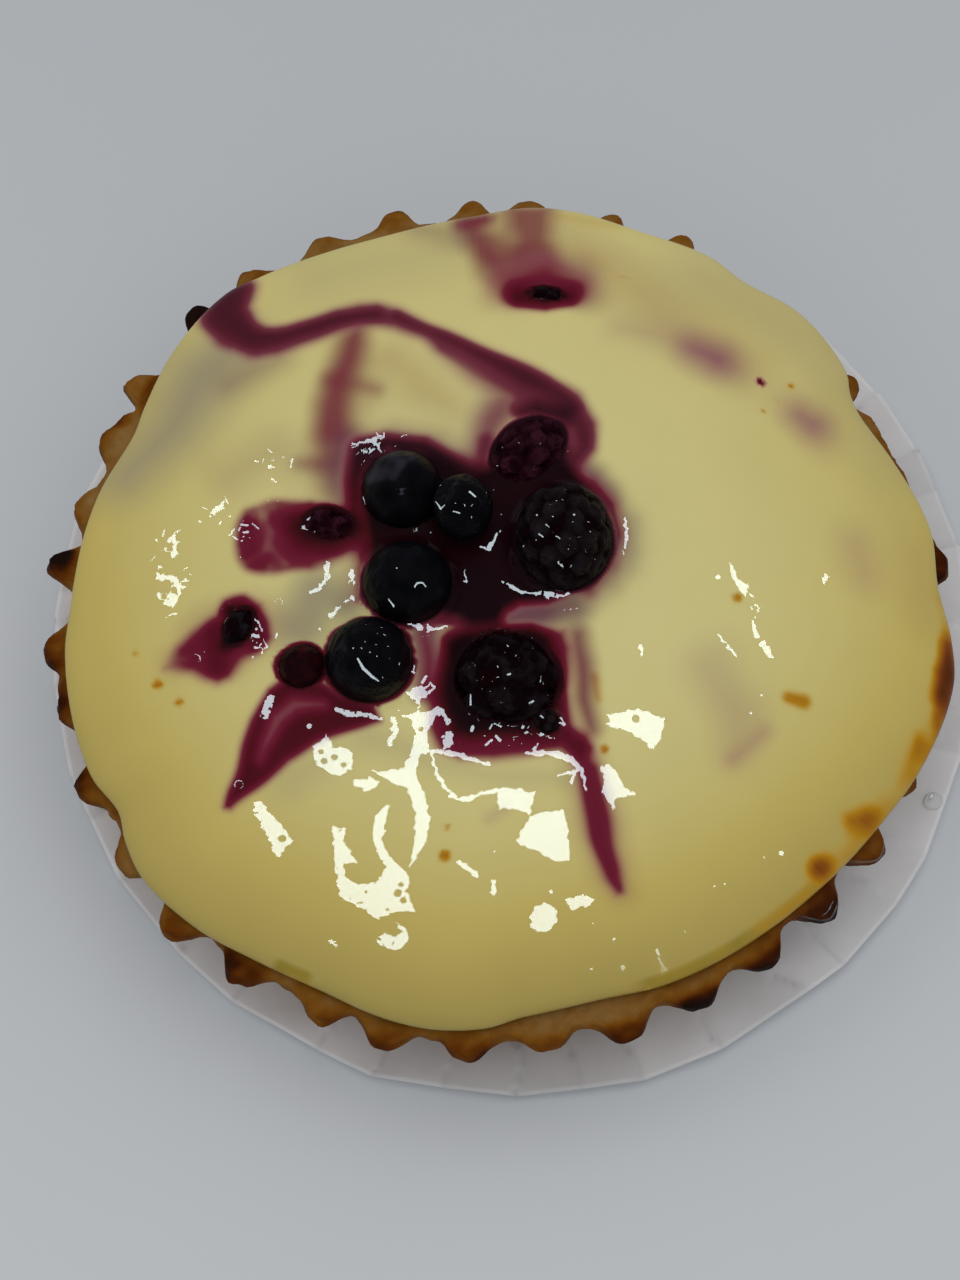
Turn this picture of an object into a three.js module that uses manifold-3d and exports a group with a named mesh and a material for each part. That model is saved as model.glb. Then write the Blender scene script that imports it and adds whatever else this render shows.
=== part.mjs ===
// Berry yogurt tartlet: a fluted shortcrust case filled with baked yogurt custard that has risen
// over the rim, with berries sunk into it, standing in a flattened pleated paper case.
// Millimetres, +Z up. The origin is on the table, under the centre of the crust.

import * as THREE from 'three';
import { mergeVertices } from 'three/addons/utils/BufferGeometryUtils.js';
import Module from 'manifold-3d';

const wasm = await Module();
wasm.setup();

// Clearance between pieces that touch
const GAP = 0.3;

// Paper case, pressed almost flat under the tartlet and a little off its centre
const PAPER_CENTRE = new THREE.Vector2(1.95, 2.5);
const PAPER_RADIUS = 64.4;
const PAPER_THICKNESS = 0.5;
const PAPER_FLAT_RADIUS = 49;
const PAPER_EDGE_LIFT = 2.6;
const PAPER_PLEATS = 40;
const PAPER_PLEAT_STEP = 0.45;
const PAPER_EDGE_WAVE = 0.5;

// Crust, baked in a fluted tin of 120 mm
const CREST_RADIUS = 60;
const FLUTE_COUNT = 36;
const FLUTE_DEPTH = 4;
const FLUTE_TURN = THREE.MathUtils.degToRad(-4.3);
const FLUTE_SQUARENESS = 1.1;
const COLUMNS_PER_FLUTE = 7;
const RIM_HEIGHT = 22;
const WALL_TAPER = 6;
const CAVITY_RADIUS = 53.2;
const FLOOR_RADIUS = 48.5;
const BASE_THICKNESS = 3.8;
const TOOTH_SPREAD = 0.2;
const TOOTH_DROP = 0.9;

// How far the bottoms of the flutes stand out past the valley radius where the dough filled them, at a few
// angles in degrees round the crust
const FLUTE_FILL = [
  [8, 0], [13, 3], [20, 2.4], [25, 1.9], [31, 1.2], [38, 0], [84, 0], [89, 2.6], [95, 2.4], [104, 1.8],
  [112, 2.2], [128, 2.3], [141, 0.3], [150, 0.7], [153.5, 0.7], [156.3, 2.7], [159, 0.9], [185, 0.9],
  [195, 3.2], [205, 1.7], [268, 1.7], [276, 1.3], [285, 0.8], [305, 0.8], [315, 0],
];

// Crest radius of the teeth that came out short or long, and the degrees by which some tips lean
// round the rim. Teeth are counted anticlockwise from the right.
const UNEVEN_TEETH = [
  { teeth: [3], radius: 58.2 },
  { teeth: [2], radius: 58.4 },
  { teeth: [5, 28], radius: 58.8 },
  { teeth: [6, 17, 30, 31, 34], radius: 59.2 },
  { teeth: [4, 16, 29, 32, 33], radius: 59.7 },
  { teeth: [22, 24], radius: 60.4 },
  { teeth: [1, 8, 9, 12, 19, 21], radius: 60.7 },
  { teeth: [7, 10, 11, 13, 15, 18], radius: 61.1 },
  { teeth: [14, 23], radius: 61.5 },
];
const LEANING_TEETH = [
  { teeth: [10, 20], lean: -2.8 },
  { teeth: [4, 6, 11, 18], lean: -2 },
  { teeth: [7, 8, 12, 14, 21], lean: -1.3 },
  { teeth: [3, 15, 25], lean: 1.8 },
];

// Filling: its crown over the rim, the rolled edge, and the edge's radius at a few angles in degrees
const CROWN_HEIGHT = 7;
const EDGE_HEIGHT = 1.2;
const EDGE_TUCK = 1.6;
const CROWN_POWER = 2.8;
const FILLING_COLUMNS = 90;
const FILLING_RINGS = [0.99, 0.95, 0.88, 0.78, 0.64, 0.48, 0.28];
const FILLING_EDGE = [
  [2, 58], [10, 58.3], [20, 56.7], [28, 55.6], [32, 56.2], [35, 57.7], [45, 58.8], [54, 57.6], [60, 58.3],
  [70, 57.8], [80, 58.4], [86, 58.2], [94, 56.8], [106, 56], [115, 56.5], [125, 57.8], [130, 58.6],
  [140, 57.6], [150, 55.7], [155, 54.9], [165, 56], [181, 56.8], [187, 57.6], [204, 58], [210, 56.8],
  [214, 58], [219, 58.9], [228, 58.3], [237, 56.9], [246, 56.3], [256, 57], [262, 57], [268, 56.3],
  [273, 54.9], [283, 54.1], [292, 54.8], [312, 55.6], [327, 57.1], [338, 59], [349, 60.3], [355, 59.5],
];

// Berries: centre, half sizes, and the turn of the long half size about the vertical in degrees.
// Crown is the direction of a blueberry's calyx, and grains are the drupelets of a bramble.
const BERRIES = [
  { name: 'blueberry_1', kind: 'blueberry', at: [-12.9, 13.5, 29.2], half: [5.3, 5.3, 5.1], detail: 3 },
  { name: 'blueberry_2', kind: 'blueberry', at: [-4.9, 9.5, 33.3], half: [4.2, 4.7, 4.3], detail: 3,
    crown: [-0.66, 0.25, 0.7], wrinkle: 0.05 },
  { name: 'blueberry_3', kind: 'blueberry', at: [-12.1, 0.3, 30], half: [5.8, 5.5, 5.3], detail: 3 },
  { name: 'blueberry_4', kind: 'blueberry', at: [-16.9, -10.1, 29.8], half: [5.6, 5.6, 5.4], detail: 3 },
  { name: 'bramble_1', kind: 'bramble', at: [8.2, 6.3, 31], half: [6.4, 7.2, 6.4], detail: 6, grains: 46 },
  { name: 'bramble_2', kind: 'bramble', at: [3.7, 19.4, 27], half: [6.2, 4.5, 4.4], turn: 38, detail: 5,
    grains: 34 },
  { name: 'bramble_3', kind: 'bramble', at: [0.7, -12.2, 27.2], half: [7.8, 6.9, 4.8], turn: -12, detail: 5,
    grains: 24, wrinkle: 0.09 },
  { name: 'small_berry', kind: 'bramble', at: [5.8, -18.4, 30.2], half: [1.6, 1.6, 1.6], detail: 2, grains: 14 },
  { name: 'red_drupe', kind: 'drupe', at: [-25.6, -10.6, 28.2], half: [3.1, 2.9, 2.8], turn: 25, detail: 2 },
  { name: 'berry_piece_1', kind: 'bramble', at: [-22.4, 9, 27.6], half: [4, 2.7, 2.6], turn: -8, detail: 2,
    grains: 16 },
  { name: 'berry_piece_2', kind: 'bramble', at: [-33.9, -5.1, 26.9], half: [2.5, 3.6, 2.4], turn: -30, detail: 2,
    grains: 14 },
  { name: 'berry_piece_3', kind: 'bramble', at: [6.4, 42.7, 26.4], half: [3.3, 1.6, 1.8], turn: -6, detail: 2,
    grains: 14 },
];
const POCKET_DETAIL = 2;
const POCKET_CLEARANCE = 0.45;
const GRAIN_OVERLAP = 1.25;
const GOLDEN_ANGLE = Math.PI * (3 - Math.sqrt(5));

// Finishes
const FINISHES = {
  paper: { color: 0xe9e7ea, roughness: 0.8 },
  crust: { color: 0xa8682a, roughness: 0.75 },
  filling: { color: 0xdccf92, roughness: 0.2 },
  blueberry: { color: 0x14121c, roughness: 0.2 },
  bramble: { color: 0x1c0810, roughness: 0.15 },
  drupe: { color: 0x4a0a14, roughness: 0.15 },
};

// A repeatable stream of numbers from 0 to 1
function seeded(seed) {
  const modulus = 2 ** 32;
  let state = seed;
  return () => {
    state = (state * 1664525 + 1013904223) % modulus;
    return state / modulus;
  };
}

// Keeps only positions, shares the corners and drops the triangles that close up at a pole
function closed(geometry) {
  geometry.deleteAttribute('normal');
  geometry.deleteAttribute('uv');
  const merged = mergeVertices(geometry);
  const corners = merged.index.array;
  const kept = [];
  for (let i = 0; i < corners.length; i += 3) {
    const [a, b, c] = corners.slice(i, i + 3);
    if (a !== b && b !== c && c !== a) kept.push(a, b, c);
  }
  merged.setIndex(kept);
  return merged;
}

function toSolid(geometry) {
  return new wasm.Manifold(new wasm.Mesh({
    numProp: 3,
    vertProperties: new Float32Array(geometry.attributes.position.array),
    triVerts: new Uint32Array(geometry.index.array),
  }));
}

function toGeometry(solid) {
  const mesh = solid.getMesh();
  const geometry = new THREE.BufferGeometry();
  geometry.setAttribute('position', new THREE.BufferAttribute(mesh.vertProperties, 3));
  geometry.setIndex(new THREE.BufferAttribute(mesh.triVerts, 1));
  return geometry;
}

// Turns a profile of [radius, height] about Z and lets move(point, row, angle) shift every corner
function turned(profile, columns, move) {
  const points = profile.map(([radius, height]) => new THREE.Vector2(radius, height));
  const geometry = new THREE.LatheGeometry(points, columns);
  geometry.rotateX(Math.PI / 2);
  const position = geometry.attributes.position;
  const point = new THREE.Vector3();
  for (let i = 0; i < position.count; i += 1) {
    point.fromBufferAttribute(position, i);
    move(point, i % profile.length, Math.atan2(point.y, point.x));
    position.setXYZ(i, point.x, point.y, point.z);
  }
  return closed(geometry);
}

function stretch(point, radius) {
  const length = Math.hypot(point.x, point.y);
  if (length > 0) {
    point.x *= radius / length;
    point.y *= radius / length;
  }
}

function finished(name, geometry, finish) {
  const material = new THREE.MeshStandardMaterial({ ...FINISHES[finish], metalness: 0 });
  const mesh = new THREE.Mesh(geometry, material);
  mesh.name = name;
  return mesh;
}

// Paper case: a flat base and a ring that rises to a wavy edge in pleats, each a small step
function paperCase() {
  const random = seeded(7);
  const edgeOffsets = Array.from({ length: PAPER_PLEATS }, () => (random() - 0.5) * 2 * PAPER_EDGE_WAVE);
  const middle = (PAPER_FLAT_RADIUS + PAPER_RADIUS) / 2;
  const rise = (radius) => {
    const share = Math.max(0, (radius - PAPER_FLAT_RADIUS) / (PAPER_RADIUS - PAPER_FLAT_RADIUS));
    return PAPER_EDGE_LIFT * share ** 1.5;
  };
  const under = [0, PAPER_FLAT_RADIUS, middle, PAPER_RADIUS].map((radius) => [radius, rise(radius)]);
  const over = [...under].reverse().map(([radius, height]) => [radius, height + PAPER_THICKNESS]);
  const profile = [...under, ...over];
  const pitch = (2 * Math.PI) / PAPER_PLEATS;
  const geometry = turned(profile, PAPER_PLEATS * 2, (point, row, angle) => {
    const radius = profile[row][0];
    if (radius <= PAPER_FLAT_RADIUS) return;
    const place = Math.round((angle / pitch) * 2 + PAPER_PLEATS * 2);
    const pleat = Math.floor(place / 2) % PAPER_PLEATS;
    const fold = place % 2;
    const share = (radius - PAPER_FLAT_RADIUS) / (PAPER_RADIUS - PAPER_FLAT_RADIUS);
    stretch(point, radius + edgeOffsets[pleat] * share);
    point.z += fold * PAPER_PLEAT_STEP * share;
  });
  const mesh = finished('paper_case', geometry, 'paper');
  mesh.position.set(PAPER_CENTRE.x, PAPER_CENTRE.y, 0);
  return mesh;
}

// Depth of dough in the flutes, on straight lines between the points of FLUTE_FILL and none outside them
function fluteFill(angle) {
  const degrees = (THREE.MathUtils.radToDeg(angle) + 360) % 360;
  const next = FLUTE_FILL.findIndex(([at]) => at > degrees);
  if (next < 1) return 0;
  const [at0, fill0] = FLUTE_FILL[next - 1];
  const [at1, fill1] = FLUTE_FILL[next];
  return THREE.MathUtils.mapLinear(degrees, at0, at1, fill0, fill1);
}

// Crust: a dish with a fluted outside, whose teeth differ in length and height along the rim
function crust() {
  const random = seeded(21);
  const valley = CREST_RADIUS - FLUTE_DEPTH;
  const pitchDegrees = 360 / FLUTE_COUNT;
  const teeth = Array.from({ length: FLUTE_COUNT }, (_, tooth) => {
    const radius = UNEVEN_TEETH.find((group) => group.teeth.includes(tooth))?.radius ?? CREST_RADIUS;
    const lean = LEANING_TEETH.find((group) => group.teeth.includes(tooth))?.lean ?? 0;
    return {
      length: radius - valley + (random() - 0.5) * 2 * TOOTH_SPREAD,
      lean: lean / pitchDegrees,
      drop: random() * TOOTH_DROP,
    };
  });
  const foot = PAPER_THICKNESS + GAP;
  const floor = foot + BASE_THICKNESS;
  const footValley = valley - WALL_TAPER;
  const waist = (foot + RIM_HEIGHT) / 2;
  // Radius between the flutes, height, and how much of the flute stands out there
  const rows = [
    [0, foot, 0],
    [footValley - 3, foot, 0],
    [footValley, foot + 1.6, 0.75],
    [valley, RIM_HEIGHT - 1.8, 1],
    [valley - 0.3, RIM_HEIGHT - 0.5, 0.95],
    [valley - 1.1, RIM_HEIGHT, 0.65],
    [CAVITY_RADIUS, RIM_HEIGHT, 0],
    [FLOOR_RADIUS, floor, 0],
    [0, floor, 0],
  ];
  const pitch = (2 * Math.PI) / FLUTE_COUNT;
  const geometry = turned(rows, FLUTE_COUNT * COLUMNS_PER_FLUTE, (point, row, angle) => {
    const [radius, height, share] = rows[row];
    if (share === 0) return;
    const turns = angle / pitch;
    const tooth = teeth[(Math.round(turns) + FLUTE_COUNT) % FLUTE_COUNT];
    const aside = turns - Math.round(turns);
    const phase = aside - tooth.lean * (1 - (2 * aside) ** 2);
    const wave = Math.tanh(FLUTE_SQUARENESS * Math.cos(phase * 2 * Math.PI));
    const crest = (1 + wave / Math.tanh(FLUTE_SQUARENESS)) / 2;
    const standing = tooth.length * crest + fluteFill(angle) * (1 - crest);
    stretch(point, radius + share * standing);
    point.z -= tooth.drop * crest * Math.max(0, (height - waist) / (RIM_HEIGHT - waist));
  });
  const mesh = finished('crust', geometry, 'crust');
  mesh.rotation.z = FLUTE_TURN;
  return mesh;
}

// A smooth closed curve of radius against angle through the few points of FILLING_EDGE
function fillingEdge(angle) {
  const count = FILLING_EDGE.length;
  const degrees = (THREE.MathUtils.radToDeg(angle) + 720) % 360;
  const i = FILLING_EDGE.findLastIndex(([at]) => at <= degrees);
  const point = (k) => {
    const [at, radius] = FILLING_EDGE[(k + count) % count];
    return [at + 360 * Math.floor(k / count), radius];
  };
  const slope = (k) => (point(k + 1)[1] - point(k - 1)[1]) / (point(k + 1)[0] - point(k - 1)[0]);
  const [a0, r0] = point(i);
  const [a1, r1] = point(i + 1);
  const span = a1 - a0;
  const t = (degrees - a0) / span;
  const bend0 = slope(i) * span;
  const bend1 = slope(i + 1) * span;
  return r0 * (1 + 2 * t) * (1 - t) ** 2 + bend0 * t * (1 - t) ** 2
    + r1 * t * t * (3 - 2 * t) + bend1 * t * t * (t - 1);
}

// Filling: a plug that fits the crust and a domed cap with a rolled edge, with a pocket for each berry
function filling(pockets) {
  const floor = PAPER_THICKNESS + GAP + BASE_THICKNESS + GAP;
  const underside = RIM_HEIGHT + GAP;
  const domeHeight = (share) => RIM_HEIGHT + EDGE_HEIGHT
    + (CROWN_HEIGHT - EDGE_HEIGHT) * Math.sqrt(1 - share ** CROWN_POWER);
  const plug = [
    [0, floor],
    [FLOOR_RADIUS - GAP, floor],
    [CAVITY_RADIUS - GAP, RIM_HEIGHT - GAP],
    [CAVITY_RADIUS - GAP, underside],
  ];
  const tucked = CREST_RADIUS - EDGE_TUCK;
  const cap = [
    [tucked, underside],
    [CREST_RADIUS, RIM_HEIGHT + EDGE_HEIGHT],
    ...FILLING_RINGS.map((share) => [CREST_RADIUS * share, domeHeight(share)]),
    [0, domeHeight(0)],
  ];
  const profile = [...plug, ...cap];
  const geometry = turned(profile, FILLING_COLUMNS, (point, row, angle) => {
    const radius = profile[row][0];
    if (row < plug.length || radius === 0) return;
    stretch(point, (radius * fillingEdge(angle)) / CREST_RADIUS);
  });
  const whole = toSolid(geometry);
  const cut = pockets.reduce((solid, pocket) => solid.subtract(toSolid(pocket)), whole);
  return finished('filling', toGeometry(cut), 'filling');
}

// How far a berry's skin reaches in a direction, as a share of its half sizes
function drupelets(count) {
  const size = GRAIN_OVERLAP * Math.sqrt(4 / count);
  const radius = size / (1 + size);
  const distance = 1 - radius;
  const centres = Array.from({ length: count }, (_, k) => {
    const height = 1 - (2 * k + 1) / count;
    const across = Math.sqrt(1 - height * height);
    const angle = k * GOLDEN_ANGLE;
    return new THREE.Vector3(across * Math.cos(angle), across * Math.sin(angle), height).multiplyScalar(distance);
  });
  return (direction) => {
    const hits = centres.map((centre) => {
      const along = direction.dot(centre);
      const room = radius * radius - distance * distance + along * along;
      return along > 0 && room > 0 ? along + Math.sqrt(room) : 0;
    });
    return Math.max(distance, ...hits);
  };
}

function calyx(crown) {
  const axis = new THREE.Vector3(...crown).normalize();
  return (direction) => {
    const angle = direction.angleTo(axis);
    const cup = 0.14 * Math.exp(-((angle / 0.3) ** 2));
    const lip = 0.05 * Math.exp(-(((angle - 0.48) / 0.14) ** 2));
    return 0.95 - cup + lip;
  };
}

function wrinkled(reach, depth) {
  const ridges = (d) => Math.sin(5 * d.x + 3 * d.y + 1) * Math.sin(4 * d.y - 5 * d.z) * Math.sin(6 * d.x - 2 * d.z + 2);
  return (direction) => reach(direction) * (1 - depth * (0.5 + 0.5 * ridges(direction)));
}

function berrySkin({ kind, grains, crown, wrinkle }) {
  let reach = () => 1;
  if (kind === 'bramble') reach = drupelets(grains);
  if (crown) reach = calyx(crown);
  return wrinkle ? wrinkled(reach, wrinkle) : reach;
}

function placed(berry, geometry, grow) {
  const [x, y, z] = berry.half.map((half) => half + grow);
  const place = new THREE.Matrix4().makeRotationZ(THREE.MathUtils.degToRad(berry.turn ?? 0));
  place.scale(new THREE.Vector3(x, y, z));
  place.setPosition(...berry.at);
  return geometry.applyMatrix4(place);
}

function berryMesh(berry) {
  const geometry = closed(new THREE.IcosahedronGeometry(1, berry.detail));
  const reach = berrySkin(berry);
  const position = geometry.attributes.position;
  const direction = new THREE.Vector3();
  for (let i = 0; i < position.count; i += 1) {
    direction.fromBufferAttribute(position, i).normalize();
    const share = reach(direction);
    direction.multiplyScalar(share);
    position.setXYZ(i, direction.x, direction.y, direction.z);
  }
  return finished(berry.name, placed(berry, geometry, 0), berry.kind);
}

function berryPocket(berry) {
  return placed(berry, closed(new THREE.IcosahedronGeometry(1, POCKET_DETAIL)), POCKET_CLEARANCE);
}

const tartlet = new THREE.Group();
tartlet.add(paperCase());
tartlet.add(crust());
tartlet.add(filling(BERRIES.map(berryPocket)));
tartlet.add(...BERRIES.map(berryMesh));

export default tartlet;
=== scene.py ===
# %% [markdown]
# A berry yogurt tartlet: a fluted shortcrust case, filled with yogurt custard that rose over the rim, with
# berries sunk into it under a clear wet glaze, on a paper case that is pressed almost flat. The packed
# solids give every place and size. Each one is replaced here by a finer mesh of the same form, because a
# baked crust, a stained custard and a berry's skin need more corners than the solids can spare.

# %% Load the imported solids
import math

import bmesh
import bpy
import numpy as np
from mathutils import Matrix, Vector


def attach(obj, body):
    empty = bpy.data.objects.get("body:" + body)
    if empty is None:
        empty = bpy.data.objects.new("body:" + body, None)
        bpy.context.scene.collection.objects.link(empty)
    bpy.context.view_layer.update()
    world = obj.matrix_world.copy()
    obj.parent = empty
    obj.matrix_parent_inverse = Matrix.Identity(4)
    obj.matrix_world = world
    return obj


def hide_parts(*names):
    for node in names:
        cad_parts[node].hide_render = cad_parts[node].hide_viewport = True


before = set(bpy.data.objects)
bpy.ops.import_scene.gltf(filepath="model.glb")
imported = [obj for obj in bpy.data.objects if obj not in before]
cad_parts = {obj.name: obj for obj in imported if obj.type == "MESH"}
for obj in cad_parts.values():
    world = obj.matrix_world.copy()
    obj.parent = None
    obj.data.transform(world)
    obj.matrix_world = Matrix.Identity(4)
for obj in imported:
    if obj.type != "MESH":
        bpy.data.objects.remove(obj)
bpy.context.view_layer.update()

# %% [markdown]
# Sizes below are in millimetres, as a baker would measure them, and become metres when a piece is settled.
# The round pieces start as half a section that Spin turns about the upright axis. After that the corners are
# moved as one array, which is quick and keeps each shape a formula that can be read.

# %% Turning, moving and settling a piece
MM = 0.001


def turned(section, columns):
    """Spins a section of (radius, height) points about the upright axis."""
    bm = bmesh.new()
    points = [bm.verts.new((radius, 0, height)) for radius, height in section]
    lines = [bm.edges.new(pair) for pair in zip(points, points[1:])]
    bmesh.ops.spin(bm, geom=points + lines, cent=(0, 0, 0), axis=(0, 0, 1), angle=2 * math.pi,
                   steps=columns, use_merge=True)
    bmesh.ops.remove_doubles(bm, verts=bm.verts, dist=1e-4)
    bmesh.ops.recalc_face_normals(bm, faces=bm.faces)
    return bm


def new_piece(name, bm):
    mesh = bpy.data.meshes.new(name)
    bm.to_mesh(mesh)
    bm.free()
    mesh.shade_smooth()
    piece = bpy.data.objects.new(name, mesh)
    bpy.context.scene.collection.objects.link(piece)
    return piece


def corners(piece):
    flat = np.zeros(len(piece.data.vertices) * 3)
    piece.data.vertices.foreach_get("co", flat)
    return flat.reshape(-1, 3)


def place_corners(piece, points):
    piece.data.vertices.foreach_set("co", np.ascontiguousarray(points, dtype=np.float32).ravel())
    piece.data.update()


def paint(piece, name, values):
    """Stores one number for each corner, for the material to read."""
    layer = piece.data.attributes.new(name, "FLOAT", "POINT")
    layer.data.foreach_set("value", np.ascontiguousarray(values, dtype=np.float32))


def settle(piece, points, material, slot, *nodes):
    """Puts the corners in place in metres and lets the piece stand for its solids."""
    place_corners(piece, points * MM)
    piece.data.materials.append(material)
    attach(piece, "root")
    if nodes:
        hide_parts(*nodes)
    size = np.ptp(points, axis=0)
    faces = len(piece.data.polygons)
    print(f"{piece.name}: {faces} faces, {size[0]:.1f} x {size[1]:.1f} x {size[2]:.1f} mm")


print("one millimetre is", MM, "m in the frame")

# %% [markdown]
# A few small tools give the unevenness of food. One adds up waves in random directions, which makes a smooth
# random relief that is the same on every run. The others say how deep a point lies inside a brush stroke of
# changing width, or inside a closed outline, which is how the stains and glints are drawn.

# %% Ripples, brush strokes and outlines
def smooth_step(value):
    value = np.clip(value, 0, 1)
    return value * value * (3 - 2 * value)


def ripple(points, size, seed, waves=16):
    """Smooth random ups and downs of about the given size, mostly between -1 and 1."""
    draw = np.random.default_rng(seed)
    total = np.zeros(len(points))
    for _ in range(waves):
        way = draw.normal(size=points.shape[1])
        way *= 2 * math.pi / (size * draw.uniform(0.7, 1.5) * np.linalg.norm(way))
        total += np.sin(points @ way + draw.uniform(0, 2 * math.pi))
    return total / math.sqrt(waves)


def away_from_line(flat, start, end):
    """Distance from each point to a straight line, and how far along the line the nearest place is."""
    along = end - start
    from_start = flat - start
    share = np.clip(from_start @ along / max(along @ along, 1e-9), 0, 1)
    return np.linalg.norm(from_start - share[:, None] * along, axis=1), share


def stroke_depth(flat, path):
    """Depth inside a brush stroke whose path rows are x, y and half width. Outside it is negative."""
    depth = np.full(len(flat), -1e9)
    rows = np.array(path, dtype=float)
    for start, end in zip(rows, rows[1:] if len(rows) > 1 else rows):
        gap, share = away_from_line(flat, start[:2], end[:2])
        depth = np.maximum(depth, start[2] + (end[2] - start[2]) * share - gap)
    return depth


def outline_depth(flat, outline):
    """Depth inside a closed outline of x, y points. Outside it is negative."""
    gap = np.full(len(flat), 1e9)
    within = np.zeros(len(flat), dtype=bool)
    rows = np.array(outline, dtype=float)
    for start, end in zip(rows, np.roll(rows, -1, axis=0)):
        gap = np.minimum(gap, away_from_line(flat, start, end)[0])
        crosses = (start[1] > flat[:, 1]) != (end[1] > flat[:, 1])
        rise = end[1] - start[1] if end[1] != start[1] else 1e-9
        within ^= crosses & (flat[:, 0] < start[0] + (flat[:, 1] - start[1]) / rise * (end[0] - start[0]))
    return np.where(within, gap, -gap)


def cover(depth, soft):
    return smooth_step(0.5 + 0.5 * depth / soft)


def layered(flat, marks):
    """Lays marks of (strength, soft edge, shape) over each other. A shape is a stroke or an outline."""
    clear = np.ones(len(flat))
    for strength, soft, shape in marks:
        depth = outline_depth(flat, shape) if len(shape[0]) == 2 else stroke_depth(flat, shape)
        clear *= 1 - strength * cover(depth, soft)
    return 1 - clear


def by_angle(angle, table):
    """Reads a table of degrees and amounts round the upright axis."""
    return np.interp(np.degrees(angle), list(table), list(table.values()), period=360)


print("a mark covers", float(cover(np.zeros(1), 1.0)[0]), "at its edge")

# %% [markdown]
# The camera looks down on the tartlet from the front, nearly upright, as someone who leans over a table.
# Its lens is a little long, so the rim stays close to a circle.

# %% Camera
EYE = np.array([-2.69, -102.56, 323.25])
TILT = math.radians(17.97)
scene = bpy.context.scene
camera = bpy.data.objects.new("camera", bpy.data.cameras.new("camera"))
camera.location = Vector(EYE * MM)
camera.rotation_euler = (TILT, 0, 0)
camera.data.lens = 67.5
camera.data.sensor_width = 36
camera.data.clip_start = 0.01
scene.collection.objects.link(camera)
scene.camera = camera
scene.view_settings.view_transform = "Standard"
print("camera", [round(v, 4) for v in camera.location], "tilt", round(math.degrees(TILT), 2))


# %% [markdown]
# Materials are built from nodes by a few short helpers. One effect is shared by most of them: a soft mottle,
# which is the slight change of shade that flour, paper and cream all have. It is a node group with its own
# inputs, so each material sets the grain that suits it.

# %% Node helpers and the mottle group
def feed(tree, node, inputs):
    """Links a node's inputs, or sets them where a plain value is given."""
    for socket, value in inputs.items():
        if isinstance(value, bpy.types.NodeSocket):
            tree.links.new(value, node.inputs[socket])
        else:
            node.inputs[socket].default_value = value


def add(tree, kind, inputs=None, **settings):
    """Adds a node, sets its options and feeds its inputs."""
    made = tree.nodes.new(kind)
    for name, value in settings.items():
        setattr(made, name, value)
    feed(tree, made, inputs or {})
    return made


def mixed(tree, share, first, second):
    """Mixes two colours. Sockets 0, 6 and 7 of a colour mix are its share and its two colours."""
    return add(tree, "ShaderNodeMix", {0: share, 6: first, 7: second}, data_type="RGBA").outputs[2]


def ramp(tree, value, stops):
    made = add(tree, "ShaderNodeValToRGB", {"Fac": value})
    elements = made.color_ramp.elements
    while len(elements) < len(stops):
        elements.new(0.5)
    for element, (place, colour) in zip(elements, stops):
        element.position = place
        element.color = (*colour, 1)
    return made.outputs["Color"]


def painted(tree, name):
    return add(tree, "ShaderNodeAttribute", attribute_name=name).outputs["Fac"]


def object_place(tree):
    return add(tree, "ShaderNodeTexCoord").outputs["Object"]


def math_node(tree, operation, first, second):
    return add(tree, "ShaderNodeMath", {0: first, 1: second}, operation=operation).outputs[0]


def faded(tree, value, ends, results=(0.0, 1.0), **settings):
    """Goes from one result to the other while the value goes from one end to the other."""
    return add(tree, "ShaderNodeMapRange", {
        "Value": value,
        "From Min": ends[0],
        "From Max": ends[1],
        "To Min": results[0],
        "To Max": results[1],
    }, **settings).outputs["Result"]


def new_material(name):
    material = bpy.data.materials.new(name)
    material.use_nodes = True
    tree = material.node_tree
    return material, tree, tree.nodes["Principled BSDF"]


def make_mottle():
    group = bpy.data.node_groups.new("mottle", "ShaderNodeTree")
    for name, kind in (("Place", "NodeSocketVector"), ("Colour", "NodeSocketColor"),
                       ("Scale", "NodeSocketFloat"), ("Strength", "NodeSocketFloat")):
        group.interface.new_socket(name, in_out="INPUT", socket_type=kind)
    for name, kind in (("Colour", "NodeSocketColor"), ("Height", "NodeSocketFloat")):
        group.interface.new_socket(name, in_out="OUTPUT", socket_type=kind)
    given = group.nodes.new("NodeGroupInput")
    result = group.nodes.new("NodeGroupOutput")
    noise = add(group, "ShaderNodeTexNoise",
                {"Vector": given.outputs["Place"], "Scale": given.outputs["Scale"], "Detail": 5.0})
    centred = math_node(group, "SUBTRACT", noise.outputs["Fac"], 0.5)
    swing = math_node(group, "MULTIPLY", centred, given.outputs["Strength"])
    shade = math_node(group, "ADD", swing, 1.0)
    colour = add(group, "ShaderNodeVectorMath", {0: given.outputs["Colour"], "Scale": shade},
                 operation="SCALE")
    feed(group, result, {"Colour": colour.outputs["Vector"], "Height": noise.outputs["Fac"]})
    return group


mottle_group = make_mottle()


def mottled(tree, colour, scale, strength):
    """Colour and height of the shared mottle at its own scale (per metre) and strength."""
    inputs = {"Place": object_place(tree), "Colour": colour, "Scale": scale, "Strength": strength}
    made = add(tree, "ShaderNodeGroup", inputs, node_tree=mottle_group)
    return made.outputs["Colour"], made.outputs["Height"]


def bumped(tree, shader, height, distance, strength=1.0):
    bump = add(tree, "ShaderNodeBump", {"Height": height, "Distance": distance, "Strength": strength})
    feed(tree, shader, {"Normal": bump.outputs["Normal"]})


print("shared group", mottle_group.name, [socket.name for socket in mottle_group.interface.items_tree])

# %% [markdown]
# A wet glaze is judged by what it mirrors. Here it mirrors a dim room, so the stains stay deep and clear,
# and one small bright lamp, which makes the crisp white glints. The soft light itself comes from the sky
# and from a wide panel overhead, and both are hidden from mirrors: a panel that showed would lie on the
# custard as a grey veil. Low down the room is paler, which gives the far rim and the berries a soft sheen.

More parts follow.
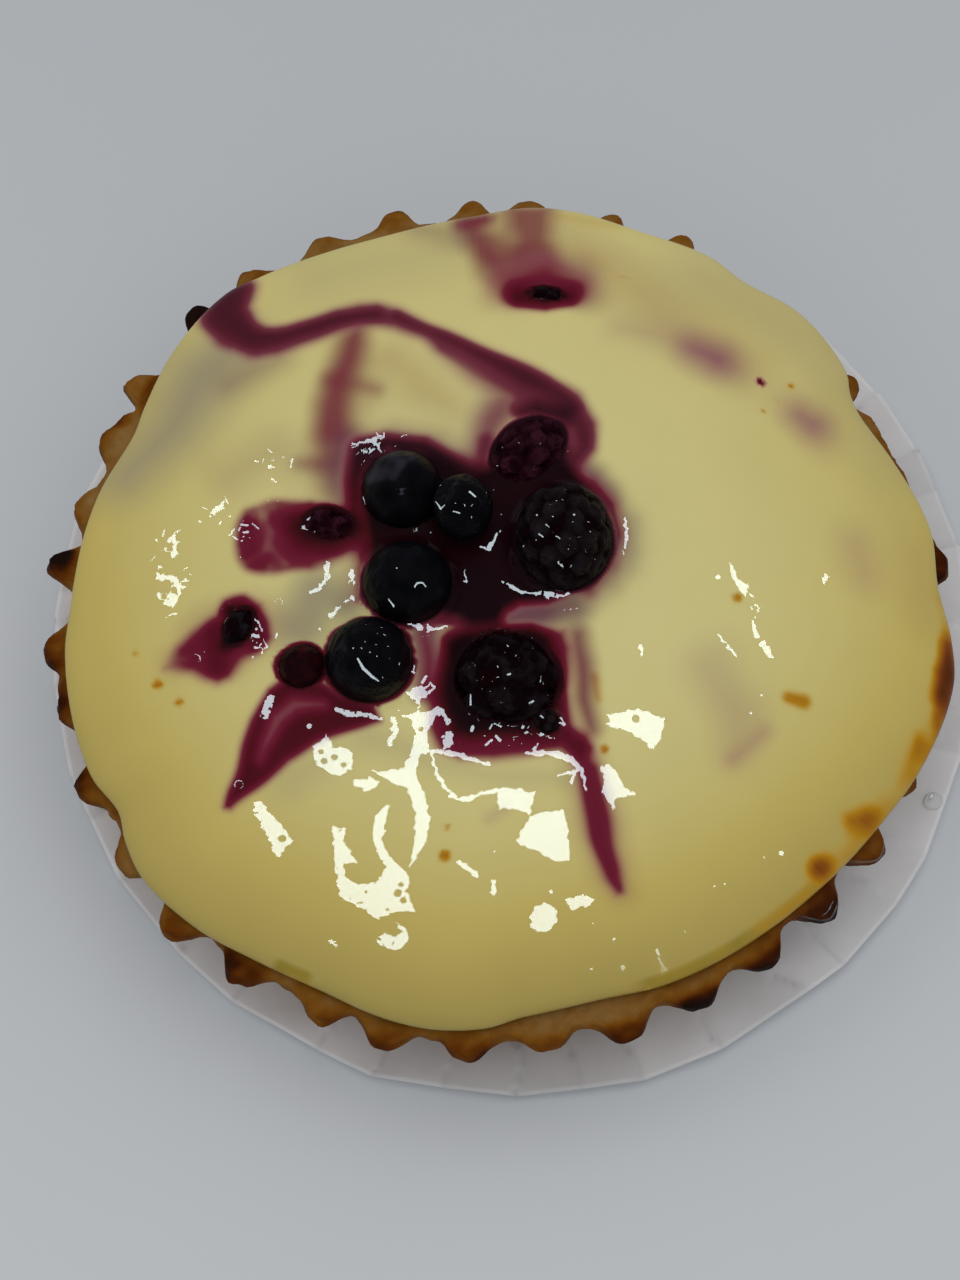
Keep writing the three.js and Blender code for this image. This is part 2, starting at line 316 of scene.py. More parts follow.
# %% Lights
LAMP = np.array([52.0, 64.0, 1022.0])
SOFT_SKY = 0.44
DIM_ROOM = 0.02
PALE_WALL = 0.07
WALL_ENDS = (0.34, 0.62)
SKY_COLOUR = (0.96, 0.985, 1.0, 1)


def panel(name, place, width, height, watts):
    light = bpy.data.lights.new(name, "AREA")
    light.shape = "RECTANGLE"
    light.size = width
    light.size_y = height
    light.energy = watts
    lamp = bpy.data.objects.new(name, light)
    lamp.location = Vector(place) * MM
    lamp.rotation_euler = (-lamp.location).to_track_quat("-Z", "Y").to_euler()
    scene.collection.objects.link(lamp)
    return lamp


soft_panel = panel("soft_panel", (-20, 150, 1180), width=1.3, height=1.1, watts=4.95)
soft_panel.visible_glossy = False
overhead_lamp = panel("overhead_lamp", LAMP, width=0.05, height=0.05, watts=0.112)
overhead_lamp.data.color = (0.8, 0.94, 1.0)
sky = bpy.data.worlds.new("sky")
sky.use_nodes = True
sky.cycles.sampling_method = "NONE"
tree = sky.node_tree
looking = add(tree, "ShaderNodeTexCoord").outputs["Generated"]
upward = add(tree, "ShaderNodeSeparateXYZ", {0: looking}).outputs["Z"]
room = faded(tree, upward, WALL_ENDS, (PALE_WALL, DIM_ROOM))
in_mirror = add(tree, "ShaderNodeLightPath").outputs["Is Glossy Ray"]
strength = add(tree, "ShaderNodeMix", {0: in_mirror, 2: SOFT_SKY, 3: room}, data_type="FLOAT").outputs[0]
feed(tree, tree.nodes["Background"], {"Strength": strength, "Color": SKY_COLOUR})
scene.world = sky

# %% [markdown]
# The table is one wide sheet. It is painted a paler grey in front and a darker grey behind, which is
# painted light and shade along its depth, so the two greys are mixed from front to back.

# %% Table
LIT_FRONT_OF_TABLE = (0.69, 0.71, 0.735, 1)
SHADED_BACK_OF_TABLE = (0.57, 0.59, 0.615, 1)
SHADE_ENDS = (-0.08, 0.14)
BELOW_PAPER = 0.0002
bm = bmesh.new()
bmesh.ops.create_grid(bm, x_segments=1, y_segments=1, size=3)
table = new_piece("table", bm)
table.location.z = -BELOW_PAPER
table_finish, tree, shader = new_material("table_top")
backward = add(tree, "ShaderNodeSeparateXYZ", {0: object_place(tree)}).outputs["Y"]
# Painted light in front and painted shade behind, not the table's own colour.
shade = mixed(tree, faded(tree, backward, SHADE_ENDS), LIT_FRONT_OF_TABLE, SHADED_BACK_OF_TABLE)
colour, _ = mottled(tree, shade, 9.0, 0.06)
feed(tree, shader, {"Base Color": colour, "Roughness": 0.5, "Specular IOR Level": 0.25})
table.data.materials.append(table_finish)
print("table finish", table_finish.name)

# %% [markdown]
# The paper case was a fluted cup that the tartlet pressed almost flat. Its edge is a chain of short straight
# panels with a fold between each two, and a small step at every fold. The ring lifts slightly off the table,
# which gives the soft shadow under it. It is turned from a thin section, then the folds move its corners.

# %% Paper case
PAPER_CENTRE = np.array([1.95, 2.5])
PAPER_RADIUS = 64.4
PAPER_THICKNESS = 0.5
PAPER_FLAT_RADIUS = 49.0
PAPER_EDGE_LIFT = 2.6
PAPER_PLEATS = 40
PAPER_EDGE_WAVE = 0.45
PLEAT_STEP = 0.9
COLUMNS_PER_PLEAT = 16
FOLD_JITTER = 0.33
FOLD_WANDER = 0.06
CREASE_WIDTH = 0.5
PAPER_BUCKLE = 0.25
PANEL_SPREAD = 0.15
# How lit each panel is painted, by its angle round the case: painted light and shade on the pleats.
PANEL_LIGHT = {0: 0.4, 15: 0.1, 30: 0.5, 90: 0.55, 200: 0.8, 225: 1.0, 240: 0.9, 255: 0.4, 270: 0.1,
               285: 0.55, 300: 0.65, 315: 0.8, 330: 0.95, 345: 0.7}


def paper_rise(radius):
    share = np.clip((radius - PAPER_FLAT_RADIUS) / (PAPER_RADIUS - PAPER_FLAT_RADIUS), 0, 1)
    return PAPER_EDGE_LIFT * share ** 1.5


ring = np.linspace(PAPER_FLAT_RADIUS, PAPER_RADIUS, 26)
under = [(0, 0), (25, 0), *((radius, paper_rise(radius)) for radius in ring)]
section = under + [(radius, height + PAPER_THICKNESS) for radius, height in reversed(under)]
paper = new_piece("paper", turned(section, PAPER_PLEATS * COLUMNS_PER_PLEAT))
points = corners(paper)
radius = np.hypot(points[:, 0], points[:, 1])
angle = np.arctan2(points[:, 1], points[:, 0])
share = np.clip((radius - PAPER_FLAT_RADIUS) / (PAPER_RADIUS - PAPER_FLAT_RADIUS), 0, 1)
draw = np.random.default_rng(7)
jitter = draw.uniform(-FOLD_JITTER, FOLD_JITTER, PAPER_PLEATS)
fold_at = (np.arange(PAPER_PLEATS) + jitter) * 2 * math.pi / PAPER_PLEATS
wander = FOLD_WANDER * (1 - share) * ripple(points[:, :2], 9, 4)
turn = np.mod(angle - fold_at[0] + wander, 2 * math.pi)
folds = np.append(fold_at - fold_at[0], 2 * math.pi)
pleat = np.clip(np.searchsorted(folds, turn, side="right") - 1, 0, PAPER_PLEATS - 1)
width = folds[pleat + 1] - folds[pleat]
across = (turn - folds[pleat]) / width
edge_offset = draw.uniform(-1, 1, PAPER_PLEATS + 1) * PAPER_EDGE_WAVE
edge_offset[-1] = edge_offset[0]
edge = edge_offset[pleat] * (1 - across) + edge_offset[pleat + 1] * across
chord = PAPER_RADIUS * (1 - np.cos(width / 2) / np.cos((across - 0.5) * width))
step = draw.uniform(0.1, 1.0, PAPER_PLEATS)[pleat] * PLEAT_STEP
sharpness = draw.uniform(0.2, 1.0, PAPER_PLEATS)[pleat]
crease_shadow = sharpness * np.exp(-across * width * radius / CREASE_WIDTH)
reach = radius + (edge - chord) * share
points[:, 0] = PAPER_CENTRE[0] + reach * np.cos(angle)
points[:, 1] = PAPER_CENTRE[1] + reach * np.sin(angle)
buckle = PAPER_BUCKLE * ripple(points[:, :2], 11, 3)
points[:, 2] += share * (step * (across - 0.5) + buckle * share)
points[:, 2] = np.maximum(points[:, 2], 0)
# A painted shadow darkens the paper along every fold.
paint(paper, "crease_shadow", crease_shadow * smooth_step(share * 2.2))
spread = draw.uniform(-PANEL_SPREAD, PANEL_SPREAD, PAPER_PLEATS)
# Painted light for each panel, with a random spread.
light = np.clip(by_angle(fold_at, PANEL_LIGHT) + spread, 0, 1)
paint(paper, "panel", light[pleat])
print("pleats", PAPER_PLEATS, "paper reaches", round(float(reach.max()), 1), "mm")

# %% [markdown]
# The paper is thin, white and a little see-through, so it takes the grey of the table. Each panel is painted
# lighter or darker by its angle round the case, a painted shade of how the light falls on the pleats, and
# every fold gets a painted shadow line. These are enough to show that it was pleated.

# %% Paper finish
SHADED_PANEL_COLOUR = (0.67, 0.665, 0.675, 1)
FOLD_SHADOW_COLOUR = (0.49, 0.485, 0.49, 1)
LIT_PANEL_COLOUR = (0.90, 0.885, 0.89, 1)
paper_finish, tree, shader = new_material("baking_paper")
lit_panels = mixed(tree, painted(tree, "panel"), SHADED_PANEL_COLOUR, LIT_PANEL_COLOUR)
fold_shadowed = mixed(tree, math_node(tree, "MULTIPLY", painted(tree, "crease_shadow"), 0.5), lit_panels, FOLD_SHADOW_COLOUR)
colour, height = mottled(tree, fold_shadowed, 420.0, 0.08)
feed(tree, shader, {"Base Color": colour, "Roughness": 0.62, "Specular IOR Level": 0.3})
bumped(tree, shader, height, 0.00012, 0.4)
settle(paper, points, paper_finish, "paper", "paper_case")

# %% [markdown]
# The crust is shortcrust from a fluted tin. From above only its teeth show, and no two are alike: some broke
# off short when it was turned out, some lean, and their tips are the most baked. The section is turned with
# many rows up the wall, then each row is pushed out by the flutes, and fine ripples make the crumb. The
# random draws are the same as the solid's, so each tooth keeps its length.

# %% Crust sizes
CREST_RADIUS = 60.0
FLUTE_COUNT = 36
FLUTE_DEPTH = 4.0
FLUTE_TURN = math.radians(-4.3)
FLUTE_SQUARENESS = 1.1
RIM_HEIGHT = 22.0
WALL_TAPER = 6.0
CAVITY_RADIUS = 53.2
FLOOR_RADIUS = 48.5
BASE_THICKNESS = 3.8
CRUST_FOOT = PAPER_THICKNESS + 0.3
TOOTH_SPREAD = 0.2
TOOTH_DROP = 0.9
UNEVEN_TEETH = {
    58.2: [3],
    58.4: [2],
    58.8: [5, 28],
    59.2: [6, 17, 30, 31, 34],
    59.7: [4, 16, 29, 32, 33],
    60.4: [22, 24],
    60.7: [1, 8, 9, 12, 19, 21],
    61.1: [7, 10, 11, 13, 15, 18],
    61.5: [14, 23],
}
LEANING_TEETH = {-2.8: [10, 20], -2.0: [4, 6, 11, 18], -1.3: [7, 8, 12, 14, 21], 1.8: [3, 15, 25]}
FLUTE_FILL = {
    8: 0, 13: 3, 20: 2.4, 25: 1.9, 31: 1.2, 38: 0, 84: 0, 89: 2.6, 95: 2.4, 104: 1.8, 112: 2.2, 128: 2.3,
    141: 0.3, 150: 0.7, 153.5: 0.7, 156.3: 2.7, 159: 0.9, 185: 0.9, 195: 3.2, 205: 1.7, 268: 1.7,
    276: 1.3, 285: 0.8, 305: 0.8, 315: 0,
}
print("uneven teeth", sum(len(teeth) for teeth in UNEVEN_TEETH.values()), "of", FLUTE_COUNT)

# %% Crust section
COLUMNS_PER_FLUTE = 18
valley = CREST_RADIUS - FLUTE_DEPTH
foot_valley = valley - WALL_TAPER
floor = CRUST_FOOT + BASE_THICKNESS
key_rows = np.array([
    [foot_valley - 3, CRUST_FOOT, 0],
    [foot_valley, CRUST_FOOT + 1.6, 0.75],
    [valley, RIM_HEIGHT - 1.8, 1],
    [valley - 0.3, RIM_HEIGHT - 0.5, 0.95],
    [valley - 1.1, RIM_HEIGHT, 0.65],
    [CAVITY_RADIUS, RIM_HEIGHT, 0],
])
steps = np.concatenate([np.linspace(0, 1, 4)[:-1], np.linspace(1, 2, 24)[:-1], np.linspace(2, 5, 19)])
wall = np.stack([np.interp(steps, np.arange(6), key_rows[:, k]) for k in range(3)], axis=1)
section = [(0, CRUST_FOOT), (30, CRUST_FOOT), *wall[:, :2]]
section += [(FLOOR_RADIUS, floor), (30, floor), (0, floor)]
crust = new_piece("shortcrust", turned(section, FLUTE_COUNT * COLUMNS_PER_FLUTE))
points = corners(crust)
radius = np.hypot(points[:, 0], points[:, 1])
angle = np.arctan2(points[:, 1], points[:, 0])
from_wall = np.hypot(radius[:, None] - wall[:, 0], points[:, 2, None] - wall[:, 1])
row = from_wall.argmin(axis=1)
flute_share = np.where(from_wall.min(axis=1) < 0.01, wall[row, 2], 0)
print("rows up the wall", len(wall), "corners", len(points))


# %% Crust teeth
def even_draws(state, count):
    """Even random numbers from 0 to 1, made as the solids make them."""
    draws = []
    for _ in range(count):
        state = (state * 1664525 + 1013904223) % 2 ** 32
        draws.append(state / 2 ** 32)
    return np.array(draws)


COARSE_CRUMB = 0.16
FINE_CRUMB = 0.10
draws = even_draws(21, 2 * FLUTE_COUNT).reshape(-1, 2)
crest_radius = np.full(FLUTE_COUNT, CREST_RADIUS)
lean = np.zeros(FLUTE_COUNT)
for size, teeth in UNEVEN_TEETH.items():
    crest_radius[teeth] = size
for degrees, teeth in LEANING_TEETH.items():
    lean[teeth] = degrees * FLUTE_COUNT / 360
length = crest_radius - valley + (draws[:, 0] - 0.5) * 2 * TOOTH_SPREAD
drop = draws[:, 1] * TOOTH_DROP
turns = angle * FLUTE_COUNT / (2 * math.pi)
tooth = np.round(turns).astype(int) % FLUTE_COUNT
aside = turns - np.round(turns)
phase = aside - lean[tooth] * (1 - (2 * aside) ** 2)
crest = 0.5 + 0.5 * np.tanh(FLUTE_SQUARENESS * np.cos(phase * 2 * math.pi)) / math.tanh(FLUTE_SQUARENESS)
fill = by_angle(angle, FLUTE_FILL)
waist = (CRUST_FOOT + RIM_HEIGHT) / 2
upper = np.clip((points[:, 2] - waist) / (RIM_HEIGHT - waist), 0, 1)
crumb = COARSE_CRUMB * ripple(points, 2.6, 5) + FINE_CRUMB * ripple(points, 1.2, 6)
standing = length[tooth] * crest + fill * (1 - crest)
reach = radius + flute_share * standing + np.where(flute_share > 0, crumb, 0)
points[:, 0] = reach * np.cos(angle + FLUTE_TURN)
points[:, 1] = reach * np.sin(angle + FLUTE_TURN)
points[:, 2] -= drop[tooth] * crest * upper * (flute_share > 0)
points[:, 2] += np.where((upper > 0.9) & (flute_share > 0), -np.abs(0.5 * crumb), 0)
print("longest tooth reaches", round(float(reach.max()), 1), "mm")

# %% [markdown]
# Baking shows as colour: tan at the back, golden brown to the left, chestnut at the front and nearly black
# where a tooth stuck out into the heat. Each side of the crust has its own bake, single teeth are darker,
# and a tooth can burn on one side. Just under the custard's edge at the front the crust is painted paler,
# partly its golden colour and partly painted light against the shade that the custard casts there. Two
# teeth caught some filling and are glazed with dark caramel.

# %% Crust bake
SIDE_BAKE = {0: 0.55, 60: 0.26, 95: 0.18, 125: 0.16, 150: 0.26, 165: 0.28, 190: 0.40, 225: 0.46, 260: 0.46,
             285: 0.50, 300: 0.66, 320: 0.68, 340: 0.62}
DARK_TEETH = {0.7: [14], 0.46: [30], 0.34: [1, 24, 31], 0.2: [29], 0.24: [18, 32],
              0.12: [10, 11, 13, 16, 19, 20, 21], 0.06: [27], -0.1: [23], -0.3: [22, 34]}
BURNT_BITS = [
    [(-51.0, 26.8, 1.3)],
    [(-58.4, 7.6, 1.6)],
    [(-46.4, 34.2, 0.5), (-48.2, 30.4, 0.9), (-48.9, 28.0, 0.7)],
]
GOLDEN_AND_LIT_RIM = {225: 0.1, 262: 0.1, 275: 0.3, 290: 0.32, 305: 0.24, 312: 0}
BURNT_LEFT_TEETH = [10, 11, 19, 27]
BURNT_RIGHT_TEETH = [16, 18, 20, 21, 22]
CARAMEL_TEETH = [32, 33]
TIP_BAKE = 0.16
PATCHY_BAKE = 0.10
GRAINY_BAKE = 0.07
SIDE_BURN = 0.35
LOW_WALL_BAKE = 0.12
BIT_BURN = 0.5
LEAST_COAT = 0.04
dark = np.zeros(FLUTE_COUNT)
for amount, teeth in DARK_TEETH.items():
    dark[teeth] = amount
burn_side = np.zeros(FLUTE_COUNT)
burn_side[BURNT_LEFT_TEETH] = -1
burn_side[BURNT_RIGHT_TEETH] = 1
tip = smooth_step((reach - valley - 0.8) / 4.0) * upper
side = np.clip(burn_side[tooth] * aside * -4.5, 0, 1)
bake = by_angle(angle + FLUTE_TURN, SIDE_BAKE)
bake += TIP_BAKE * (tip - 0.5) + PATCHY_BAKE * ripple(points, 7, 8) + GRAINY_BAKE * ripple(points, 2.2, 9)
outer = smooth_step((reach - valley) / 2.2)
bake += dark[tooth] * smooth_step(crest * 1.6) * outer * upper
bake += SIDE_BURN * side * tip + LOW_WALL_BAKE * (1 - upper)
# Paler under the custard's edge: the rim's golden colour, and painted light against the custard's shade.
golden_and_lit = np.interp(np.degrees(angle + FLUTE_TURN) % 360, list(GOLDEN_AND_LIT_RIM), list(GOLDEN_AND_LIT_RIM.values()))
bake -= golden_and_lit * (1 - outer)
bake += BIT_BURN * layered(points[:, :2], [(1.0, 0.8, bit) for bit in BURNT_BITS]) * upper
paint(crust, "bake", np.clip(bake, 0, 1))
caramel = np.isin(tooth, CARAMEL_TEETH) * smooth_step(crest * 1.8) * smooth_step((upper - 0.85) / 0.1)
paint(crust, "caramel", np.maximum(caramel, LEAST_COAT))
print("mean bake", round(float(np.clip(bake, 0, 1).mean()), 2))

# %% Crust finish
crust_finish, tree, shader = new_material("baked_shortcrust")
BAKE_COLOURS = [
    (0.0, (0.27, 0.145, 0.042)),
    (0.35, (0.215, 0.082, 0.008)),
    (0.6, (0.135, 0.036, 0.002)),
    (0.8, (0.058, 0.0115, 0.001)),
    (1.0, (0.014, 0.006, 0.004)),
]
colour, height = mottled(tree, ramp(tree, painted(tree, "bake"), BAKE_COLOURS), 900.0, 0.5)
feed(tree, shader, {"Base Color": colour, "Roughness": 0.6, "Specular IOR Level": 0.04})
feed(tree, shader, {"Coat Weight": painted(tree, "caramel"), "Coat Roughness": 0.08})
bumped(tree, shader, height, 0.0004, 0.6)
settle(crust, points, crust_finish, "crust", "crust")

# %% [markdown]
# The berries come before the custard, because the custard dips under each one and climbs up its side. A
# blueberry is a smooth ball, a bramble is a ball of small round drupelets set in a spiral, and the berry
# pieces are what is left of burst ones. All start as an icosphere, whose even triangles have no pole. They
# were baked, so the drupelets are slack and crumpled, and jelly fills the grooves near the custard.

# %% Berry shapes
GOLDEN_ANGLE = math.pi * (3 - math.sqrt(5))
GRAIN_OVERLAP = 1.25
SLACK = 0.6
LARGE_BERRY = 4.1
CUP_DEPTH = 0.14
LIP_HEIGHT = 0.05
BERRIES = {
    "blueberry_1": dict(at=(-12.9, 13.5, 29.2), half=(5.3, 5.3, 5.1), crumple=0.006),
    "blueberry_2": dict(at=(-4.9, 9.5, 33.3), half=(4.2, 4.7, 4.3), crown=(-0.66, 0.25, 0.7), wrinkle=0.05,
                        crumple=0.02),
    "blueberry_3": dict(at=(-12.1, 0.3, 30.0), half=(5.8, 5.5, 5.3), crumple=0.008),
    "blueberry_4": dict(at=(-16.9, -10.1, 29.8), half=(5.6, 5.6, 5.4), crumple=0.014),
    "bramble_1": dict(at=(8.2, 6.3, 31.0), half=(6.4, 7.2, 6.4), grains=46, crumple=0.03),
    "bramble_2": dict(at=(3.7, 19.4, 27.0), half=(6.2, 4.5, 4.4), turn=38, grains=34, crumple=0.05),
    "bramble_3": dict(at=(0.7, -12.2, 27.2), half=(7.8, 6.9, 4.8), turn=-12, grains=24, wrinkle=0.09,
                      crumple=0.05),
    "small_berry": dict(at=(5.8, -18.4, 30.2), half=(1.6, 1.6, 1.6), grains=14, crumple=0.02),
    "red_drupe": dict(at=(-25.6, -10.6, 28.2), half=(3.1, 2.9, 2.8), turn=25, crumple=0.02),
    "berry_piece_1": dict(at=(-22.4, 9.0, 27.6), half=(4.0, 2.7, 2.6), turn=-8, grains=16, crumple=0.13),
    "berry_piece_2": dict(at=(-33.9, -5.1, 26.9), half=(2.5, 3.6, 2.4), turn=-30, grains=14, crumple=0.13),
    "berry_piece_3": dict(at=(6.4, 42.7, 26.4), half=(3.3, 1.6, 1.8), turn=-6, grains=14, crumple=0.13),
}


def drupelet_reach(ways, count):
    """How far a ball of slack drupelets reaches in each direction."""
    size = GRAIN_OVERLAP * math.sqrt(4 / count)
    grain = size / (1 + size)
    distance = 1 - grain
    k = np.arange(count)
    level = 1 - (2 * k + 1) / count
    across = np.sqrt(1 - level * level)
    spiral = k * GOLDEN_ANGLE
    centres = np.stack([across * np.cos(spiral), across * np.sin(spiral), level], axis=1) * distance
    along = ways @ centres.T
    room = grain * grain - distance * distance + along * along
    hits = np.where((along > 0) & (room > 0), along + np.sqrt(np.maximum(room, 0)), 0)
    relief = np.maximum(hits.max(axis=1), distance) - 1
    return 1 + relief * SLACK * (0.35 + 0.65 * smooth_step((ways[:, 2] + 0.1) / 0.5))


def calyx_reach(ways, crown):
    axis = np.array(crown) / np.linalg.norm(crown)
    angle = np.arccos(np.clip(ways @ axis, -1, 1))
    cup = CUP_DEPTH * np.exp(-((angle / 0.3) ** 2))
    lip = LIP_HEIGHT * np.exp(-(((angle - 0.48) / 0.14) ** 2))
    return 0.95 - cup + lip


def wrinkles(ways):
    x, y, z = ways.T
    return np.sin(5 * x + 3 * y + 1) * np.sin(4 * y - 5 * z) * np.sin(6 * x - 2 * z + 2)


def berry_mesh(name, berry):
    """Pushes an icosphere out to the skin. Returns the piece, its corners, their reach and directions."""
    bm = bmesh.new()
    bmesh.ops.create_icosphere(bm, subdivisions=7 if max(berry["half"]) > LARGE_BERRY else 6, radius=1)
    piece = new_piece(name + "_skin", bm)
    ways = corners(piece)
    ways /= np.linalg.norm(ways, axis=1)[:, None]
    reach = np.ones(len(ways))
    if "grains" in berry:
        reach = drupelet_reach(ways, berry["grains"])
    if "crown" in berry:
        reach = calyx_reach(ways, berry["crown"])
    if "wrinkle" in berry:
        reach = reach * (1 - berry["wrinkle"] * (0.5 + 0.5 * wrinkles(ways)))
    in_mm = ways * berry["half"]
    folds = np.abs(ripple(in_mm, 2.4, 71)) + 0.5 * np.abs(ripple(in_mm, 1.1, 72))
    reach = reach * (1 + berry["crumple"] * (0.6 - folds))
    turn = math.radians(berry.get("turn", 0))
    spin = np.array([[math.cos(turn), -math.sin(turn), 0], [math.sin(turn), math.cos(turn), 0], [0, 0, 1]])
    skin = (in_mm * reach[:, None]) @ spin.T + berry["at"]
    return piece, skin, reach, ways


print("berries", len(BERRIES), "with drupelets", sum("grains" in berry for berry in BERRIES.values()))


# %% [markdown]
# The glints are where a wet skin lies just steep enough to mirror the lamp. Relief that fine would need
# millions of corners, so it is given to the shading alone: in each glint the corner normals lean to the
# half-way line between the lamp and someone who looks down on the tartlet. The outline of a glint stays as
# sharp as the mesh is fine.

# %% Leaning the normals to the lamp
def unit(vectors):
    return vectors / np.linalg.norm(vectors, axis=1)[:, None]


CLEAR_OF_LAMP = 0.05


def lean_to_lamp(piece, points, amount):
    """Turns the corner normals to mirror the lamp where the amount is 1, and keeps the rest clear of it."""
    normals = np.zeros(len(points) * 3)
    piece.data.vertices.foreach_get("normal", normals)
    half_way = unit(unit(EYE - points) + unit(LAMP - points))
    aside = normals.reshape(-1, 3) - half_way
    distance = np.maximum(np.linalg.norm(aside, axis=1), 1e-6)[:, None]
    clear = half_way + aside / distance * np.maximum(distance, CLEAR_OF_LAMP)
    amount = amount[:, None]
    normals = unit(clear * (1 - amount) + half_way * amount)
    piece.data.normals_split_custom_set_from_vertices(normals.tolist())
    print(piece.name, "corners that glint", int((amount > 0.9).sum()))


# %% The glint on the caramel
CARAMEL_GLINT = [(40.5, -41.9, 0.22), (41.8, -41.1, 0.34), (42.4, -39.8, 0.22)]
CARAMEL_GLINT_EDGE = 0.2
caramel_points = corners(crust) / MM
caramel_depth = stroke_depth(caramel_points[:, :2], CARAMEL_GLINT)
lean_to_lamp(crust, caramel_points, cover(caramel_depth, CARAMEL_GLINT_EDGE) * upper)

# %% The glints on the berries
BERRY_GLINT_EDGE = 0.09
BERRY_GLINT_GROWTH = 0.06
DRY_SHINE = 0.06
BERRY_GLINTS = {
    "blueberry_1": [[(-18.0, 12.3, 0.05), (-17.6, 10.6, 0.10), (-16.0, 8.7, 0.05)]],
    "blueberry_2": [
        [(-4.0, 10.2, 0.16), (-3.3, 9.6, 0.14)],
        [(-8.4, 9.6, 0.08), (-7.7, 8.3, 0.14), (-7.2, 8.6, 0.08)],
        [(-6.1, 7.7, 0.10), (-5.3, 7.4, 0.10)],
    ],
    "blueberry_3": [
        [(-11.0, -1.9, 0.12), (-10.7, -1.4, 0.13), (-10.0, -1.3, 0.13), (-9.6, -1.7, 0.12)],
        [(-13.3, 0.5, 0.13)],
        [(-14.4, -3.1, 0.08), (-13.7, -3.9, 0.14)],
    ],
    "blueberry_4": [
        [(-18.1, -11.5, 0.14), (-17.4, -12.7, 0.21), (-16.3, -13.6, 0.19), (-15.5, -14.0, 0.10)],
        [(-18.7, -10.1, 0.12)],
        [(-14.3, -9.8, 0.10)],
        [(-15.7, -11.2, 0.10)],
    ],
    "bramble_1": [
        [(4.6, 7.6, 0.18)],
        [(9.3, 7.0, 0.18)],
        [(7.1, 9.2, 0.13)],
        [(5.7, 5.9, 0.10), (6.1, 5.6, 0.10)],
        [(4.8, 4.8, 0.12), (5.4, 4.4, 0.10)],
        [(7.0, 4.4, 0.12), (7.5, 3.9, 0.10)],
        [(11.4, 5.1, 0.12)],
        [(7.3, 1.3, 0.14), (7.9, 1.1, 0.12)],
        [(2.9, 4.1, 0.12)],
    ],
    "bramble_3": [
        [(-3.9, -14.6, 0.10), (-3.9, -16.0, 0.16)],
        [(0.8, -12.6, 0.14), (1.2, -12.5, 0.12)],
        [(-1.1, -13.2, 0.10)],
        [(5.1, -12.3, 0.10), (5.0, -13.1, 0.10)],
        [(3.6, -16.0, 0.12), (4.1, -15.7, 0.12)],
        [(6.2, -8.2, 0.14)],
    ],
    "small_berry": [[(5.0, -18.0, 0.12), (5.3, -18.3, 0.08)]],
}
SPECKLED = {"blueberry_2": 6, "blueberry_4": 14, "bramble_1": 34, "bramble_2": 11, "bramble_3": 30}
SPECKLE_SIZE = (0.02, 0.09)
SPECKLE_LENGTH = 0.16


def speckles(berry, count):
    """Small short glints strewn over the top of a bramble."""
    draw = np.random.default_rng(count)
    starts = draw.uniform(-0.75, 0.75, (count, 2)) * berry["half"][:2] + berry["at"][:2]
    ends = draw.normal(starts, SPECKLE_LENGTH)
    widths = draw.uniform(*SPECKLE_SIZE, (count, 2))
    return [[(*start, width[0]), (*end, width[1])] for start, end, width in zip(starts, ends, widths)]


print("glints", {name: len(paths) for name, paths in BERRY_GLINTS.items()})

# %% [markdown]
# Blueberry skin is blue black with a breath of grey bloom on the far side, which the glaze wets almost away;
# that grey is also a painted sheen. The brambles are black on top and let a dark red through at their thin
# edges and in the grooves, and the crests of their drupelets are painted a little lighter, a painted sheen.
# All are under the same clear glaze, so a coat with little roughness gives them their small crisp glints.

# %% Berry finishes
# The side painted grey: bloom, and a painted sheen.
BLOOM_AND_SHEEN_SIDE = np.array([-0.45, 0.62, 0.64])
SCUFF_AND_REFLECTION_SIDE = np.array([0.0, -0.34, 0.94])
SCUFF_AND_REFLECTION = 0.6
GREYEST_BERRY = "blueberry_1"
STRONG_BLOOM_AND_SHEEN = 0.42
FAINT_BLOOM_AND_SHEEN = 0.15


def berry_finish(name, stops, scale, bump, gloss):
    """A wet skin whose colour runs along a ramp with the skin's depth and a fine mottle."""
    finish, tree, shader = new_material(name)
    colour, height = mottled(tree, ramp(tree, painted(tree, "depth"), stops), scale, 0.9)
    feed(tree, shader, {"Base Color": colour, "Roughness": 0.45, "Specular IOR Level": gloss})
    feed(tree, shader, {"Coat Weight": painted(tree, "shine"), "Coat Roughness": 0.04})
    bumped(tree, shader, height, bump, 0.4)
    return finish


# The light top of this ramp is the grey of bloom and of a painted sheen.
blueberry_finish = berry_finish("blueberry_skin", [
    (0.0, (0.002, 0.002, 0.003)),
    (0.5, (0.005, 0.005, 0.008)),
    (1.0, (0.052, 0.052, 0.068)),
], 260.0, 0.0002, 0.14)
# The crests of the drupelets are painted a lighter grey, a painted sheen; the grooves keep a dark red.
bramble_finish = berry_finish("bramble_skin", [
    (0.0, (0.010, 0.0006, 0.002)),
    (0.5, (0.005, 0.0015, 0.0025)),
    (1.0, (0.015, 0.011, 0.013)),
], 900.0, 0.0003, 0.03)
